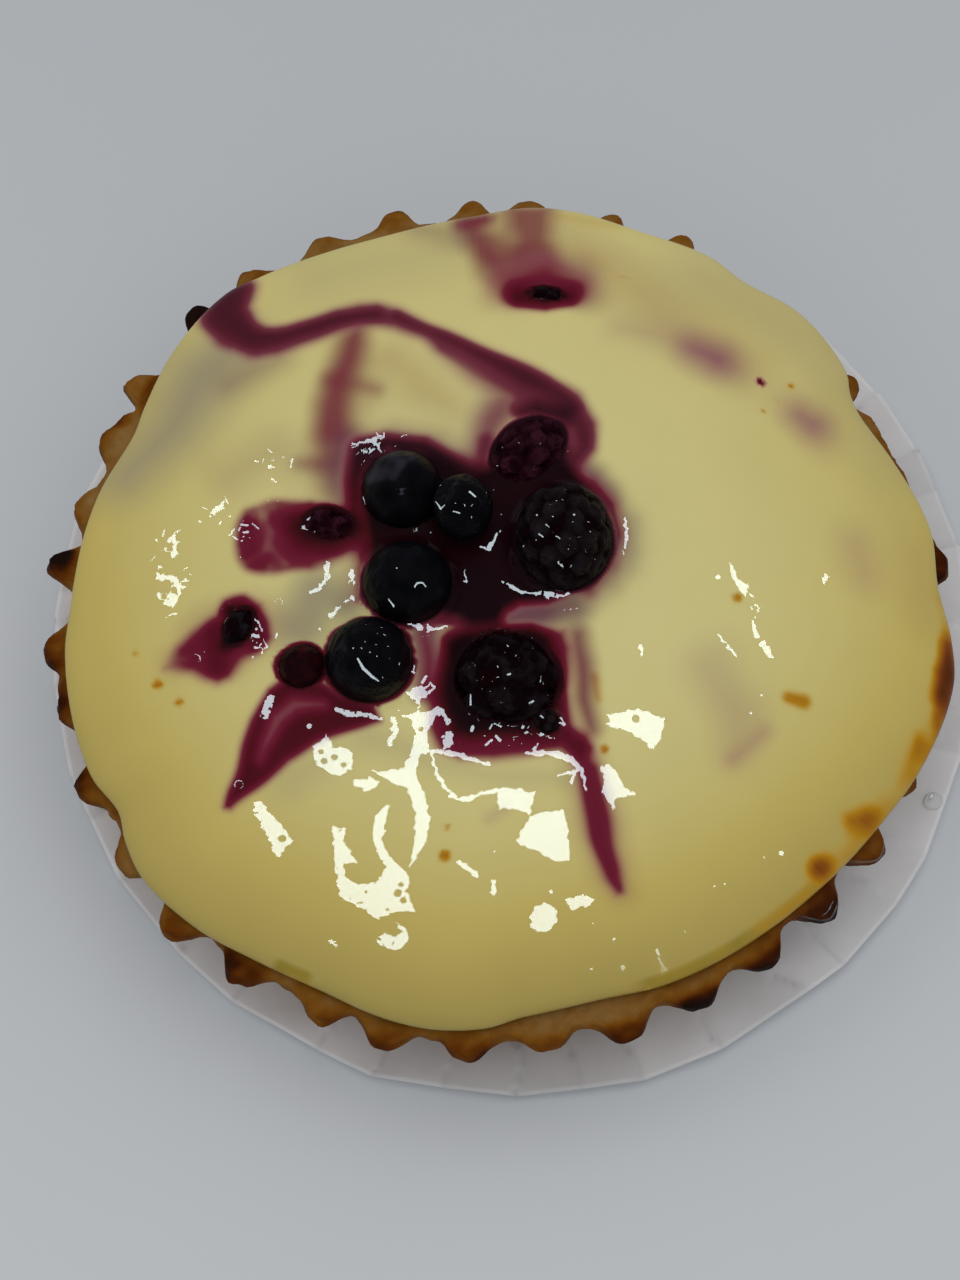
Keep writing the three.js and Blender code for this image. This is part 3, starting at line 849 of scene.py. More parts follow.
# Here the crests are painted lighter too: their red, and a painted sheen on it.
red_bramble_finish = berry_finish("red_bramble_skin", [
    (0.0, (0.006, 0.0006, 0.0015)),
    (0.5, (0.015, 0.0020, 0.005)),
    (1.0, (0.042, 0.0090, 0.018)),
], 900.0, 0.0003, 0.03)
drupe_finish = berry_finish("red_drupe_skin", [
    (0.0, (0.045, 0.002, 0.006)),
    (0.6, (0.020, 0.002, 0.004)),
    (1.0, (0.010, 0.002, 0.003)),
], 300.0, 0.0001, 0.06)
BERRY_LOOKS = {
    "blueberry": (blueberry_finish, "blueberry"),
    "bramble": (bramble_finish, "bramble"),
    "red_bramble": (red_bramble_finish, "bramble"),
    "drupe": (drupe_finish, "drupe"),
}
RED_BRAMBLES = ["bramble_2", "berry_piece_1"]
print("berry finishes", [finish.name for finish, slot in BERRY_LOOKS.values()])


# %% Berries in place
def berry_kind(name):
    if name.startswith("blueberry"):
        return "blueberry"
    if name == "red_drupe":
        return "drupe"
    return "red_bramble" if name in RED_BRAMBLES else "bramble"


for name, berry in BERRIES.items():
    piece, skin, reach, ways = berry_mesh(name, berry)
    kind = berry_kind(name)
    finish, slot = BERRY_LOOKS[kind]
    if kind == "blueberry":
        # The grey painted on one side is bloom and also a painted sheen.
        bloom_and_sheen = STRONG_BLOOM_AND_SHEEN if name == GREYEST_BERRY else FAINT_BLOOM_AND_SHEEN
        depth = 0.2 + bloom_and_sheen * smooth_step((ways @ BLOOM_AND_SHEEN_SIDE - 0.45) / 0.35)
    else:
        depth = (reach - reach.min()) / np.ptp(reach)
    # A grey patch where the berry faces the eye: a scuff, and also a painted reflection.
    if name == GREYEST_BERRY:
        patch = smooth_step((ways @ SCUFF_AND_REFLECTION_SIDE - 0.985) / 0.012)
        depth = depth + SCUFF_AND_REFLECTION * patch * smooth_step(0.5 + ripple(skin, 0.7, 33))
    paint(piece, "depth", np.clip(depth + 0.10 * ripple(skin, 2.5, 31), 0, 1))
    settle(piece, skin, finish, slot, name)
    glints = BERRY_GLINTS.get(name, []) + speckles(berry, SPECKLED.get(name, 0))
    inside = np.full(len(skin), -1.0)
    for path in glints:
        inside = np.maximum(inside, stroke_depth(skin[:, :2], path))
    bright = cover(inside + BERRY_GLINT_GROWTH, BERRY_GLINT_EDGE)
    amount = np.where(skin[:, 2] > berry["at"][2], bright, 0)
    paint(piece, "shine", np.maximum(amount, DRY_SHINE))
    lean_to_lamp(piece, skin, amount)

# %% [markdown]
# Where the glaze on the custard wrinkled as it set, it mirrors the lamp in ragged shards, joined by fine
# bright threads. They lie mostly at the front, and at the near side of each berry. The shards are outlines,
# the threads are strokes, and tiny bubbles make round specks.

# %% Shards
SHARDS = {
    "square": [(2.1, -33.2), (3.3, -31), (4.3, -30), (7.7, -29.6), (8.2, -31), (8.5, -35.8),
        (6.8, -35.9), (5, -34.8), (2.2, -33.8)],
    "above_square": [(-0.3, -27), (0.3, -26.7), (4.1, -27.2), (3.8, -28.4), (3.6, -30.1), (2.9, -29.6),
        (1.5, -29.2), (-0.3, -29.3)],
    "beside_pool": [(13.5, -17.1), (17.5, -16.2), (20.9, -17.7), (20.3, -20.2), (19.4, -21.4),
        (17.8, -20.1), (15.7, -19), (13.4, -18.5), (13.9, -17.8)],
    "beside_streak": [(12.7, -23.7), (13.8, -23.7), (14.5, -24.4), (15.7, -26.9), (16.9, -27.4),
        (14.4, -28), (14.1, -29.2), (13.2, -27.3), (12.8, -27.2), (13.1, -25.8)],
    "fork": [(-12.7, -17.2), (-9.1, -16.6), (-8.1, -16), (-7.3, -16.2), (-6.5, -18.2), (-7.7, -17),
        (-8.4, -17.4), (-9.5, -19.4), (-9.2, -22.1), (-10.3, -22.3), (-10.9, -24.8), (-9.7, -27.5),
        (-9.1, -30.7), (-9.5, -33.5), (-10.7, -35.2), (-11.1, -35.1), (-10.8, -29.9), (-11.9, -26.6),
        (-14.1, -25.7), (-16.7, -24.2), (-14.6, -24.6), (-12.3, -24), (-11.4, -22), (-10.9, -19.6),
        (-11.5, -17.8)],
    "below_berry": [(-22.2, -19.5), (-21.3, -21.5), (-20.2, -21.2), (-19.1, -21.8), (-18.8, -23.1),
        (-19, -24.2), (-20.4, -24.9), (-21.8, -24.6), (-23.2, -23.7), (-23.9, -22.5), (-23.9, -21.3),
        (-23.1, -20.7)],
    "left_leaf": [(-31.3, -28.2), (-30.6, -28.1), (-28.1, -30.9), (-26.2, -33.5), (-27.3, -34.1),
        (-27.7, -35.2), (-28.5, -35.2), (-29.2, -33.4), (-31.3, -29.5)],
    "great": [(-21.3, -31.2), (-20.4, -32), (-19.6, -31.6), (-19.9, -33.3), (-18.1, -36.2),
        (-19.8, -36.2), (-19.6, -37.8), (-17.9, -39), (-15.3, -38.4), (-14.5, -36.8), (-15.7, -34.6),
        (-16.2, -32.6), (-16, -30.4), (-14.3, -28.8), (-14.7, -31.7), (-15.2, -33.3), (-14.2, -35.3),
        (-11.6, -37.8), (-11.6, -40.7), (-10.7, -42.2), (-13, -42.2), (-15.4, -43.2), (-17.8, -41.6),
        (-20.4, -40.3), (-21, -36)],
    "under_great": [(-15.8, -45.5), (-14.5, -45), (-13, -45.3), (-12.3, -44.8), (-13.3, -43.6),
        (-12, -44.3), (-11.4, -45.5), (-12.5, -46.9), (-14, -46.9), (-15.2, -46.3)],
    "round": [(3.5, -43), (4.2, -41.6), (5.5, -41.2), (6.8, -42), (6.9, -43.3), (6.2, -44.5),
        (4.8, -44.8), (3.7, -44.2)],
    "molar": [(8, -40.8), (10.2, -40.2), (11.8, -40.7), (10.5, -41.9), (9.9, -41.2), (9.4, -42),
        (8.6, -41.9)],
    "ring_blob": [(-12.4, -14.5), (-11.6, -13.8), (-10.2, -13.2), (-9.4, -14.3), (-9.9, -15),
        (-11.3, -15)],
    "small_leaf": [(-18.9, -25.9), (-16.7, -25.2), (-15.5, -25.8), (-16.2, -26.8), (-17.2, -27)],
    "pool_corner": [(-7.3, -20.5), (-7, -19.4), (-6.4, -19.2), (-6.1, -20.3), (-6.4, -21.4),
        (-7.3, -21.6)],
}
print("shards", len(SHARDS))

# %% Threads
THREADS = [
    # From the pool round to the square shard
    [(-8.8, -22.3, 0.2), (-8.4, -24.1, 0.22), (-7.6, -25.9, 0.2), (-6.7, -27.1, 0.22), (-5.7, -28, 0.22),
        (-4.4, -28.2, 0.3), (-3.5, -27.7, 0.2), (-2, -27.3, 0.22), (0, -26.9, 0.25)],
    [(-10.6, -15, 0.15), (-10.5, -16.6, 0.2)],
    [(-9.7, -13.5, 0.15), (-9, -12.9, 0.15), (-8.5, -13.4, 0.15), (-9.2, -14.2, 0.15)],
    [(-21.1, -16.3, 0.3), (-19.7, -16.9, 0.35), (-17.3, -17.1, 0.33), (-15.4, -17.6, 0.22)],
    [(-13.7, -17.7, 0.4), (-13.5, -19.3, 0.45), (-14.2, -20.9, 0.3)],
    # Along the front edge of the pool
    [(-9.2, -21.8, 0.25), (-6.3, -22.2, 0.3), (-4.7, -22.6, 0.3), (-1.5, -23.7, 0.18)],
    [(3.4, -22.1, 0.2), (4.8, -22.2, 0.3), (5.8, -22.1, 0.2), (7.2, -22.3, 0.35), (8.6, -22.9, 0.4),
        (9.6, -23.6, 0.3), (10.3, -24.7, 0.25), (10.7, -26.9, 0.15)],
    [(7.3, -25, 0.15), (9.6, -24.4, 0.25), (8.8, -25.9, 0.15)],
    [(7.4, -17.7, 0.15), (8, -18.5, 0.28), (7.3, -18.6, 0.15)],
    [(3.7, -19.6, 0.12), (6.7, -20.5, 0.18)],
    # Near the blueberries and brambles
    [(-22.7, 3.4, 0.4), (-22.6, 1.6, 0.45), (-23.2, 0.4, 0.3), (-24, -0.3, 0.35), (-24.9, -0.5, 0.15)],
    [(-19.4, 2.4, 0.32), (-19.3, 0.7, 0.42)],
    [(-19.3, -0.9, 0.2), (-19.3, -1.5, 0.5), (-20, -1.7, 0.25)],
    [(-20.9, -2.7, 0.25), (-22, -3.7, 0.45)],
    [(-23.4, -5.6, 0.28)],
    [(-12.7, -5, 0.12), (-11.5, -5.4, 0.3), (-9.9, -5.7, 0.42), (-8, -5.5, 0.2), (-7, -5.3, 0.08)],
    [(0.4, 0.7, 0.22), (2.6, -0.5, 0.34), (3.8, -0.8, 0.16), (5.2, -1, 0.36), (6.8, -1.3, 0.34),
        (9.1, -1.2, 0.15)],
    [(-2.8, 5.8, 0.12), (-1.6, 5.5, 0.4), (0, 7.9, 0.15)],
    [(-4.7, 2.4, 0.16), (-4.5, 0.5, 0.22)],
    [(16.3, 9.7, 0.22), (16.5, 7.3, 0.33), (16, 4.7, 0.2)],
    [(-19.7, 20.3, 0.15), (-16.6, 20.8, 0.35), (-15.7, 18.8, 0.12)],
    [(-18.6, 19.4, 0.08), (-16.4, 20.1, 0.12)],
    [(-18, 20.9, 0.08), (-15.6, 21.2, 0.14)],
    [(-17.4, 18.4, 0.06), (-15.2, 19.2, 0.1)],
    # On the left
    [(-31.9, -4.2, 0.1), (-31.2, -4.8, 0.14), (-30.8, -5.8, 0.1)],
    [(-30.6, -6.8, 0.1), (-30.2, -7.8, 0.14), (-30.9, -8.7, 0.1)],
    [(-39.4, -8.6, 0.1), (-38.8, -9.4, 0.14)],
    [(-43.1, 7.4, 0.6), (-42.8, 5.1, 0.5), (-44.2, 6.1, 0.3)],
    [(-44.7, 3.5, 0.4), (-44.5, 2, 0.6), (-42.8, 2, 0.5), (-42.2, 0.4, 0.7), (-43, -1.5, 0.8),
        (-44.6, -0.2, 0.4)],
    [(-43.7, -3.4, 0.2), (-42.3, -3.1, 0.25)],
    [(-36.5, 12.3, 0.3), (-37.5, 11.3, 0.6), (-38.1, 10.4, 0.3)],
    [(-29.5, -14.7, 0.45), (-30.2, -17, 0.6)],
    # On the right
    [(30, 3.5, 0.2), (30.5, 1.5, 0.5)],
    [(31, 0.9, 0.45), (31.6, 0.2, 0.8), (31.7, -0.8, 0.3)],
    [(32.4, -0.3, 0.22), (33.5, -3, 0.26)],
    [(32.5, -2.6, 0.28)],
    [(32.8, -3.9, 0.35), (32.6, -4.8, 0.3), (33.1, -6.3, 0.45)],
    [(33.8, -7.3, 0.45), (34.8, -9, 0.4)],
    [(42.1, 1.2, 0.4), (42.5, 2.1, 0.45)],
    [(28, -6.3, 0.18), (30.2, -9, 0.22)],
    [(18, -8, 0.26), (18.2, -9, 0.3)],
    # At the front
    [(-10.4, -34.6, 0.3), (-11, -35.5, 0.2), (-11.5, -36.7, 0.1)],
    [(-5.3, -36.2, 0.3), (-3.2, -37.7, 0.35)],
    [(-1, -38.8, 0.32), (-1, -40, 0.32)],
    [(-21.9, -45.4, 0.22), (-20.5, -46.3, 0.25)],
    [(19.5, -47, 0.35), (20.4, -49.2, 0.45)],
    # Behind the first blueberry
    [(-19.2, 18.8, 0.12), (-16.5, 19.3, 0.16)],
    [(-13, 21.3, 0.12), (-12.4, 21.6, 0.12)],
]
print("threads", len(THREADS))

# %% Bubbles, flecks, specks and pinholes
BUBBLES = [(-33.3, -26.0, 0.55), (-28.8, -1.8, 0.5)]
FLECKS = {(-43.5, 6.2): 10, (-42.8, 0.5): 14, (-37.3, 11.3): 8, (-30, 17.5): 8, (-17, 20): 14,
          (-34, 8): 8, (-24, 8.5): 8, (-31, -7.5): 8, (-11, -12): 4, (-9, -18): 4, (-1, -19.4): 5,
          (3, -19.4): 5}
SPECKS = {
    0.45: [(-24.5, -18.5), (28.3, 1.6), (-30.5, 17.3), (15.2, -49), (35.4, -34.6)],
    0.28: [(6.2, -39.8), (14.1, -45.6), (11.4, -43.6), (11.2, -49.2), (18.5, -51.4), (23.1, -44.6),
        (26.8, -38.9), (28.1, -38.6), (33.2, -35.2), (-1.1, -39.3), (33.5, -14.3), (32, -16.7),
        (-21.5, -45.8)],
    0.17: [(-33.3, 12.4), (-30.6, 12.4), (-29.3, 12.3), (-31.8, 0.5), (-27.4, 1.5), (-27.5, -0.2),
        (-36.1, -2.7), (-35.1, -1.9), (-39.8, -4.6), (-40.7, -6.5), (-39, -9.6), (-38.3, -8.4),
        (-31.3, -4.6), (-31.5, -7.3), (-30.1, -8), (-33.8, 9.6), (-32.9, 7.2), (-34, 4.5), (8, -47.9),
        (6.5, -45.2), (-5, -46.3), (8.9, 19.1), (0.1, 10.2), (1, 9.7), (-0.9, 13.6), (-9.1, 7.6),
        (29.2, -40.9), (-2.1, -19.9), (-0.2, -18.3), (-22.9, -50.3)],
    0.08: [(-4.6, -19.8), (-3.4, -20.3), (-0.6, -20.2), (0.2, -19.5), (1.6, -20.4), (2.6, -20.9),
        (1, -21.2), (-1.4, -21), (4.4, -20.6), (-2.9, -19.2), (0.9, -18.6), (-5.2, -20.8)],
}
PINHOLES = [(17.2, -17.6, 0.4), (-22.5, -23.1, 0.3), (-27.6, -33, 0.35), (-10.2, -19, 0.2),
            (-13, -40, 0.35), (-43.4, 6, 0.25), (-43.6, 1.2, 0.3), (-42.6, 0.2, 0.25),
            (-43.9, -0.6, 0.25), (-44.4, 2.9, 0.22), (-12.3, -40.9, 0.25), (-12.6, -38.9, 0.2),
            (-11.7, -39.7, 0.2), (-21.2, -22.6, 0.28), (-20, -23.6, 0.24), (-22.9, -21.9, 0.22)]
print("specks", sum(len(places) for places in SPECKS.values()), "flecks", sum(FLECKS.values()))

# %% How deep a point lies in a glint
GLINT_EDGE = 0.2
GLINT_GROWTH = 0.06
RAGGED = 0.11
SHARD_GROWTH = 0.1
THREAD_GROWTH = 0.04
BUBBLE_LINE = 0.14
FLECK_SPREAD = 1.2
FLECK_LENGTH = 0.45
FLECK_SIZE = (0.15, 0.28)


def glint_depth(flat):
    """Depth inside the nearest wrinkle of the glaze, with a ragged edge and a few pinholes."""
    coarse = np.stack([RAGGED * ripple(flat, 1.3, seed) for seed in (61, 62)], axis=1)
    fine = np.stack([0.6 * RAGGED * ripple(flat, 0.6, seed) for seed in (63, 64)], axis=1)
    ragged = flat + coarse + fine
    depths = [outline_depth(ragged, outline) + SHARD_GROWTH for outline in SHARDS.values()]
    depths += [stroke_depth(ragged, path) + THREAD_GROWTH for path in THREADS]
    for size, places in SPECKS.items():
        depths += [stroke_depth(flat, [(x, y, size)]) for x, y in places]
    depths += [BUBBLE_LINE - np.abs(stroke_depth(flat, [bubble])) for bubble in BUBBLES]
    draw = np.random.default_rng(15)
    for place, count in FLECKS.items():
        starts = draw.normal(place, FLECK_SPREAD, (count, 2))
        ends = draw.normal(starts, FLECK_LENGTH)
        widths = draw.uniform(*FLECK_SIZE, (count, 2))
        for start, end, width in zip(starts, ends, widths):
            depths.append(stroke_depth(flat, [(*start, width[0]), (*end, width[1])]))
    depth = np.max(depths, axis=0) + GLINT_GROWTH
    for hole in PINHOLES:
        depth = np.minimum(depth, -stroke_depth(flat, [hole]))
    return depth


square = np.mean(SHARDS["square"], axis=0)
print("depth in the middle of the square shard", round(float(glint_depth(square[None])[0]), 2), "mm")

# %% [markdown]
# The stains are berry juice that bled into the custard before it set, so they are part of its colour and not
# a layer on top. Each is a brush stroke or an outline with its own strength and soft edge, laid where the
# juice ran. The strokes are warped a little, because juice never runs in a clean line. Dark juice, a redder
# blush, a muted mauve, a pale lilac, greyed custard and toasted spots are separate amounts. The grey is also
# painted shade along the back and the sides of the rim.

# %% Dark juice
JUICE = [
    # The long swirl from the rim to the berries, darkest where it starts
    (0.62, 1.9, [(-37, 45, 3.6), (-37.6, 41, 3.8), (-36, 38.2, 3.5), (-33, 36.2, 2.5), (-30.5, 36.1, 2),
        (-28, 36.8, 1.8), (-25, 37.8, 1.8), (-22, 39, 1.8), (-19, 39.8, 1.8), (-17, 39.8, 1.8),
        (-14, 39, 1.6), (-10, 37, 1.3), (-5, 34.5, 1.4), (0, 31.7, 1.7), (5, 29, 2), (9, 26, 2.3),
        (11, 23, 2), (11.2, 20, 1.5), (10.3, 18.4, 1.1)]),
    (0.45, 1.6, [(-37.2, 44.5, 2.4), (-37.4, 40.5, 2.4), (-34, 36.8, 1.4), (-29, 37, 0.8),
        (-22, 39.4, 0.6), (-17, 39.9, 0.6)]),
    (0.36, 0.9, [(-14, 39.5, 0.5), (-10, 37.6, 0.4), (-5, 35.2, 0.5), (0, 32.4, 0.8), (6, 29, 1),
        (10, 25.5, 0.8)]),
    (0.22, 2.6, [(-34, 34, 1.2), (-28, 35, 1.3), (-22, 38, 0.9)]),
    (0.42, 2.8, [(-8, 34.2, 1), (-3, 30.5, 2), (2, 27.5, 3), (-1, 23.5, 2.6), (-2.8, 19, 1.8)]),
    (0.75, 1.5, [(2.8, 24.9, 0.8), (5, 25.5, 1.2), (8.4, 24.4, 1.1)]),
    # Round the red bramble
    (0.5, 1.6, [(-2.4, 17.6, 0.6), (-2, 20.6, 0.6)]),
    (0.36, 1.8, [(3.6, 26, 1), (9, 24.2, 1.6), (10.4, 21, 1.6), (9.8, 18.2, 1.6)]),
    # The deep ring behind the first blueberry
    (0.92, 1.7, [(-19.2, 10.5, 0.9), (-19.2, 15, 1.4), (-18.3, 19.2, 2), (-15, 20.6, 1.4),
        (-10, 19.8, 1.4), (-6.5, 17.6, 1.3), (-4, 16.4, 1)]),
    # The jelly in which the berries stand
    (0.99, 1.3, [(-17.5, 6), (-18.5, 12), (-17.5, 18.5), (-13, 20), (-8, 18.8), (-4, 16.6), (-1.2, 17.2),
        (0.8, 21), (4.6, 24), (8.4, 22.6), (9.2, 18), (11.6, 14.6), (14, 11.4), (14.6, 7), (13.4, 2.8),
        (10.5, -0.4), (6, -2.2), (2.4, -2.4), (0.8, -3.4), (-0.4, -5.2), (-4, -5.2), (-5.6, -4.2),
        (-9, -4), (-12.5, -3.4), (-16, -2.4), (-17.2, 1)]),
    (0.55, 1.9, [(12.2, 14.8, 0.8), (14.6, 11.4, 1), (15.3, 7.5, 1.1), (14.4, 3.2, 1),
        (11.5, -0.6, 0.9)]),
    # The round patch on the left and the dark berry piece in it
    (0.6, 1.9, [(-32.4, 8.3, 2.2), (-31.5, 5.4, 2.6), (-28.5, 7.3, 4.4), (-24.5, 7.2, 4.2),
        (-20, 7, 2.6)]),
    (0.36, 1.3, [(-34, 7.5, 0.7), (-33.4, 10.8, 0.7), (-30, 12, 0.7), (-25, 11.8, 0.8)]),
    (0.32, 1.3, [(-34, 6, 0.7), (-32.8, 3.4, 0.7), (-29.5, 2.7, 0.7), (-25, 3, 0.7)]),
    (0.9, 1.8, [(-25.8, 8.2, 2.4), (-22.5, 8.4, 3), (-19.5, 8.4, 2)]),
    # The star
    (0.6, 1.6, [(-43.6, -10.4), (-42, -7.4), (-40, -5.4), (-37.2, -3.4), (-36.2, -1.4), (-33.5, -0.6),
        (-31, -2), (-30.1, -4.5), (-29.6, -6.8), (-30.8, -8.4), (-33, -9.8), (-35, -12.2), (-36.6, -13),
        (-38.6, -12.2), (-40, -11.3)]),
    (0.55, 1.6, [(-34.2, -2.6, 1.6), (-32.6, -5.5, 1.8), (-31.2, -7.2, 0.9)]),
    (0.4, 1.4, [(-36.5, -6, 1.6), (-36.6, -10.4, 1.2)]),
    (0.95, 0.9, [(-35.2, -3, 0.9), (-33.6, -4.5, 1.2), (-33.4, -6.6, 0.8), (-35.4, -7.6, 0.9)]),
    # The wedge
    (0.82, 1.4, [(-27.7, -12), (-30, -13.5), (-31.9, -17.5), (-33.2, -22), (-34.6, -27), (-35, -29),
        (-34.2, -29.2), (-31, -26.5), (-27, -23), (-23, -20.7), (-19.5, -19.2), (-15.5, -17.8),
        (-16.4, -15.6), (-20.4, -14.2), (-23.2, -12.4)]),
    # Beside the blueberries
    (0.5, 1.2, [(-18.4, -1.8, 0.5), (-18.5, 2.6, 0.7), (-17.6, 5.6, 0.8)]),
    (0.52, 1.9, [(-10, -6.5, 1), (-9.4, -10, 1.2), (-9.8, -14, 1)]),
    (0.55, 1.4, [(-8.8, -4.6, 1.1), (-5, -4.6, 1), (-1, -4.8, 0.8)]),
    # The pool round the crumpled bramble, black in the middle, and the streak that ran out of it
    (0.64, 1.7, [(-9.2, -14), (-9.4, -19), (-8, -21.6), (-5.5, -23), (-1, -23.1), (3.5, -22.5),
        (7.5, -21.8), (9.2, -22.4), (11.2, -21.4), (9.4, -18.5), (8.6, -14), (9.2, -8), (8.4, -5.9),
        (3, -5.4), (-3, -5.6), (-6.6, -6.5), (-7.6, -10)]),
    (0.92, 1.6, [(-7.2, -7), (-4, -5.8), (4, -5.6), (6.4, -6.8), (7.4, -11), (7.4, -17.5), (6.6, -20),
        (-1, -19.6), (-6.3, -19.8), (-7.5, -15)]),
    (0.97, 1.6, [(-7, -7.5), (-5, -6), (4, -5.8), (6, -7), (6.8, -10), (6.8, -15), (6.8, -19),
        (1, -19.4), (-4, -19.8), (-7, -17), (-7.4, -12)]),
    (0.5, 2.1, [(8.8, -20), (9.8, -24), (10.4, -28), (11.3, -33), (12.9, -38.2), (14.4, -40.2),
        (15.4, -40), (14.8, -37.3), (14.1, -33), (13.1, -27.5), (12, -22.5), (10.9, -19.5)]),
    (0.32, 1.1, [(9.9, -22, 0.4), (10.8, -28, 0.4), (12, -33.5, 0.4), (13.8, -38.4, 0.3),
        (14.8, -39.8, 0.2)]),
    (0.26, 1.1, [(11.8, -24, 0.3), (12.8, -29, 0.3), (14, -35, 0.3), (14.9, -39.2, 0.2)]),
    (0.17, 2.2, [(10.4, -23, 2.2), (12.2, -30, 2.6), (13.6, -36, 2)]),
    # The sunken piece at the back
    (0.52, 3.4, [(2.2, 44, 3.2), (6, 45.2, 3.4), (10.4, 44, 2.6)]),
    (0.62, 1.8, [(2.6, 42.6, 1.6), (6, 42.4, 1.8), (9.6, 42.8, 1.4)]),
    (0.6, 1.2, [(2.8, 41.9, 0.8), (6, 41.4, 1), (9.3, 42, 0.8)]),
    # A single red dot
    (0.92, 0.5, [(35, 30, 0.5)]),
]
PALE_VEINS = [
    (0.26, 0.9, [(-31, 10, 0.3), (-30.2, 8, 0.5), (-30.6, 6, 0.5), (-29.5, 5, 0.5), (-28, 3.5, 0.3)]),
    (0.22, 0.9, [(-33, 4, 0.2), (-31.2, 5, 0.5), (-30.4, 6, 0.4)]),
    (0.16, 2, [(-31, 8, 1.2), (-28, 7, 1.6)]),
    (0.25, 1, [(-43, -9.8, 0.8), (-41, -9.2, 0.5)]),
    (0.5, 1.3, [(-23, -15.6, 0.7), (-26.5, -15.8, 1.2), (-28.6, -17.5, 1.2), (-29.8, -20.5, 0.9),
        (-30.8, -23, 0.4)]),
]
print("strokes of juice", len(JUICE), "pale veins", len(PALE_VEINS))

# %% Blush
BLUSH = [
    # The smear inside the loop of the swirl
    (0.88, 2, [(-19, 38.5, 1.2), (-19.6, 35.5, 1.9), (-20.6, 32.5, 2.1), (-21.8, 29.5, 2),
        (-22.4, 26, 2.3), (-22, 22.5, 2.5), (-20.5, 20.5, 1.7)]),
    (0.5, 3, [(-20, 36, 1.2), (-21, 30, 2.2), (-21.5, 24, 3), (-21, 18, 3)]),
    (0.55, 1.4, [(-22.8, 29.9, 1), (-19.5, 29.4, 1.2), (-16.5, 28.2, 0.9)]),
    (0.6, 1.5, [(-26.5, 17.6, 0.8), (-23.5, 17.6, 1.3), (-20.5, 17.8, 1.4)]),
    (0.6, 3, [(-23, 20.5, 2), (-22, 14.5, 2)]),
    (0.22, 3.2, [(-17, 32.5, 1.6), (-17.5, 27, 2)]),
    # The plume that ran to the rim at the back
    (0.86, 2.2, [(0.8, 58.5), (1, 54), (1.8, 51.5), (0.4, 48), (2, 46), (9, 46.5), (8, 50), (7.2, 52),
        (7.6, 55), (7.9, 58.5)]),
    (0.86, 2, [(0, 46.5, 2), (-1.8, 49.5, 2), (-3.2, 52, 2), (-4, 54.5, 2)]),
    (0.9, 1.3, [(-5, 54.8, 1.4), (-2, 55.6, 1.4)]),
    (0.55, 2, [(-1.6, 52, 1.6), (1, 48.8, 2.6), (4.5, 47.4, 3)]),
    (0.35, 2, [(1, 56.5, 1.6), (0.6, 52, 1.6)]),
    (0.45, 1.8, [(-2.6, 49, 0.9), (-2.6, 46, 1.1), (-1, 44.4, 1)]),
    (0.36, 3.2, [(-1, 42.5, 1.2), (3, 47.5, 3), (11, 46.5, 2.5), (12.5, 42.5, 1.5)]),
    (0.2, 4, [(10, 52, 3), (15, 47, 4), (22, 40, 3.5), (33, 31, 2.5)]),
    # Pink halos of the star, the pool and the streak, and the flush inside the loop of the swirl
    (0.35, 2.6, [(-42, -9.6, 1.6), (-36.6, -7, 5), (-32.5, -5, 4.2)]),
    (0.92, 1.8, [(10, -6.5, 1.1), (10.4, -10, 1.4), (10.6, -15, 1.3), (11.5, -19, 0.9)]),
    (0.34, 2.4, [(10.3, -23, 2.4), (12, -30, 2.8), (13.6, -36, 2.4), (15, -39.6, 1.4)]),
    (0.2, 4, [(-14, 33, 2), (-10, 28, 3), (-6, 25, 2)]),
    (0.1, 4, [(55, 6, 2), (56, -3, 2)]),
]
print("strokes of blush", len(BLUSH))

# %% Mauve, lilac, and grey with painted shade
MAUVE = [
    # Halos of the swirl, the deep ring and the sunken piece
    (0.42, 2.8, [(-36.5, 29.5, 1.2), (-33, 31.5, 1.6), (-29.5, 33.2, 1.2)]),
    (0.6, 2.4, [(-20.5, 13, 1), (-20, 19.5, 1.5), (-14, 22, 1.2), (-8, 20.5, 1.4), (-4.5, 17.5, 1.4)]),
    (0.6, 2.6, [(-21, 12.5, 1.5), (-21.5, 17, 2.2), (-20, 21, 1.5)]),
    (0.4, 2.8, [(11.5, 43, 1.8), (10.5, 46.5, 1.8)]),
    (0.45, 2.8, [(-11, 54, 1.5), (-5.5, 52.4, 1.8)]),
    (0.6, 2.6, [(-1, 25, 2), (-3.4, 18.5, 1.4)]),
    (0.95, 2, [(9.5, 18, 1.4), (12, 15.5, 1.8), (14, 12.6, 1.2)]),
    # Inside the wedge
    (0.95, 1.2, [(-28.6, -13), (-30.2, -14.6), (-31.4, -18), (-32.4, -22), (-33.4, -25.4), (-31, -24.4),
        (-27, -21.2), (-22, -18.4), (-21, -16), (-24.5, -14)]),
    # Between the berries
    (1, 1.8, [(-9.8, -6, 2), (-9.2, -11, 2), (-9.8, -14, 1.2)]),
    (0.98, 2, [(0.5, -3.6, 2.8), (5, -3, 2.4)]),
    (0.78, 2.2, [(5, -3.2, 2.8), (9, -2.6, 2.3)]),
    (0.4, 2, [(9, -2.6, 2), (12, -1.2, 1.4)]),
    (0.45, 2, [(-19.5, -2, 0.6), (-19.4, 2.5, 0.9), (-19.4, 5, 1.4)]),
    (0.4, 1.5, [(10.2, -6.5, 0.8), (10.7, -10, 0.8), (10.8, -15, 0.7), (11.6, -19, 0.6)]),
    # Under the round patch, the faint cloud behind it, and the halo of the great bramble
    (0.92, 1.8, [(-32.2, 8, 2.2), (-29, 6.7, 3.8), (-24, 7, 3.4)]),
    (0.24, 4, [(-36, 16, 2.5), (-30, 20, 2.5), (-26, 17, 2)]),
    (0.62, 2.4, [(14.6, 13.4, 1), (16.2, 9.5, 1), (16.2, 5, 1), (14.4, 0.6, 0.9)]),
]
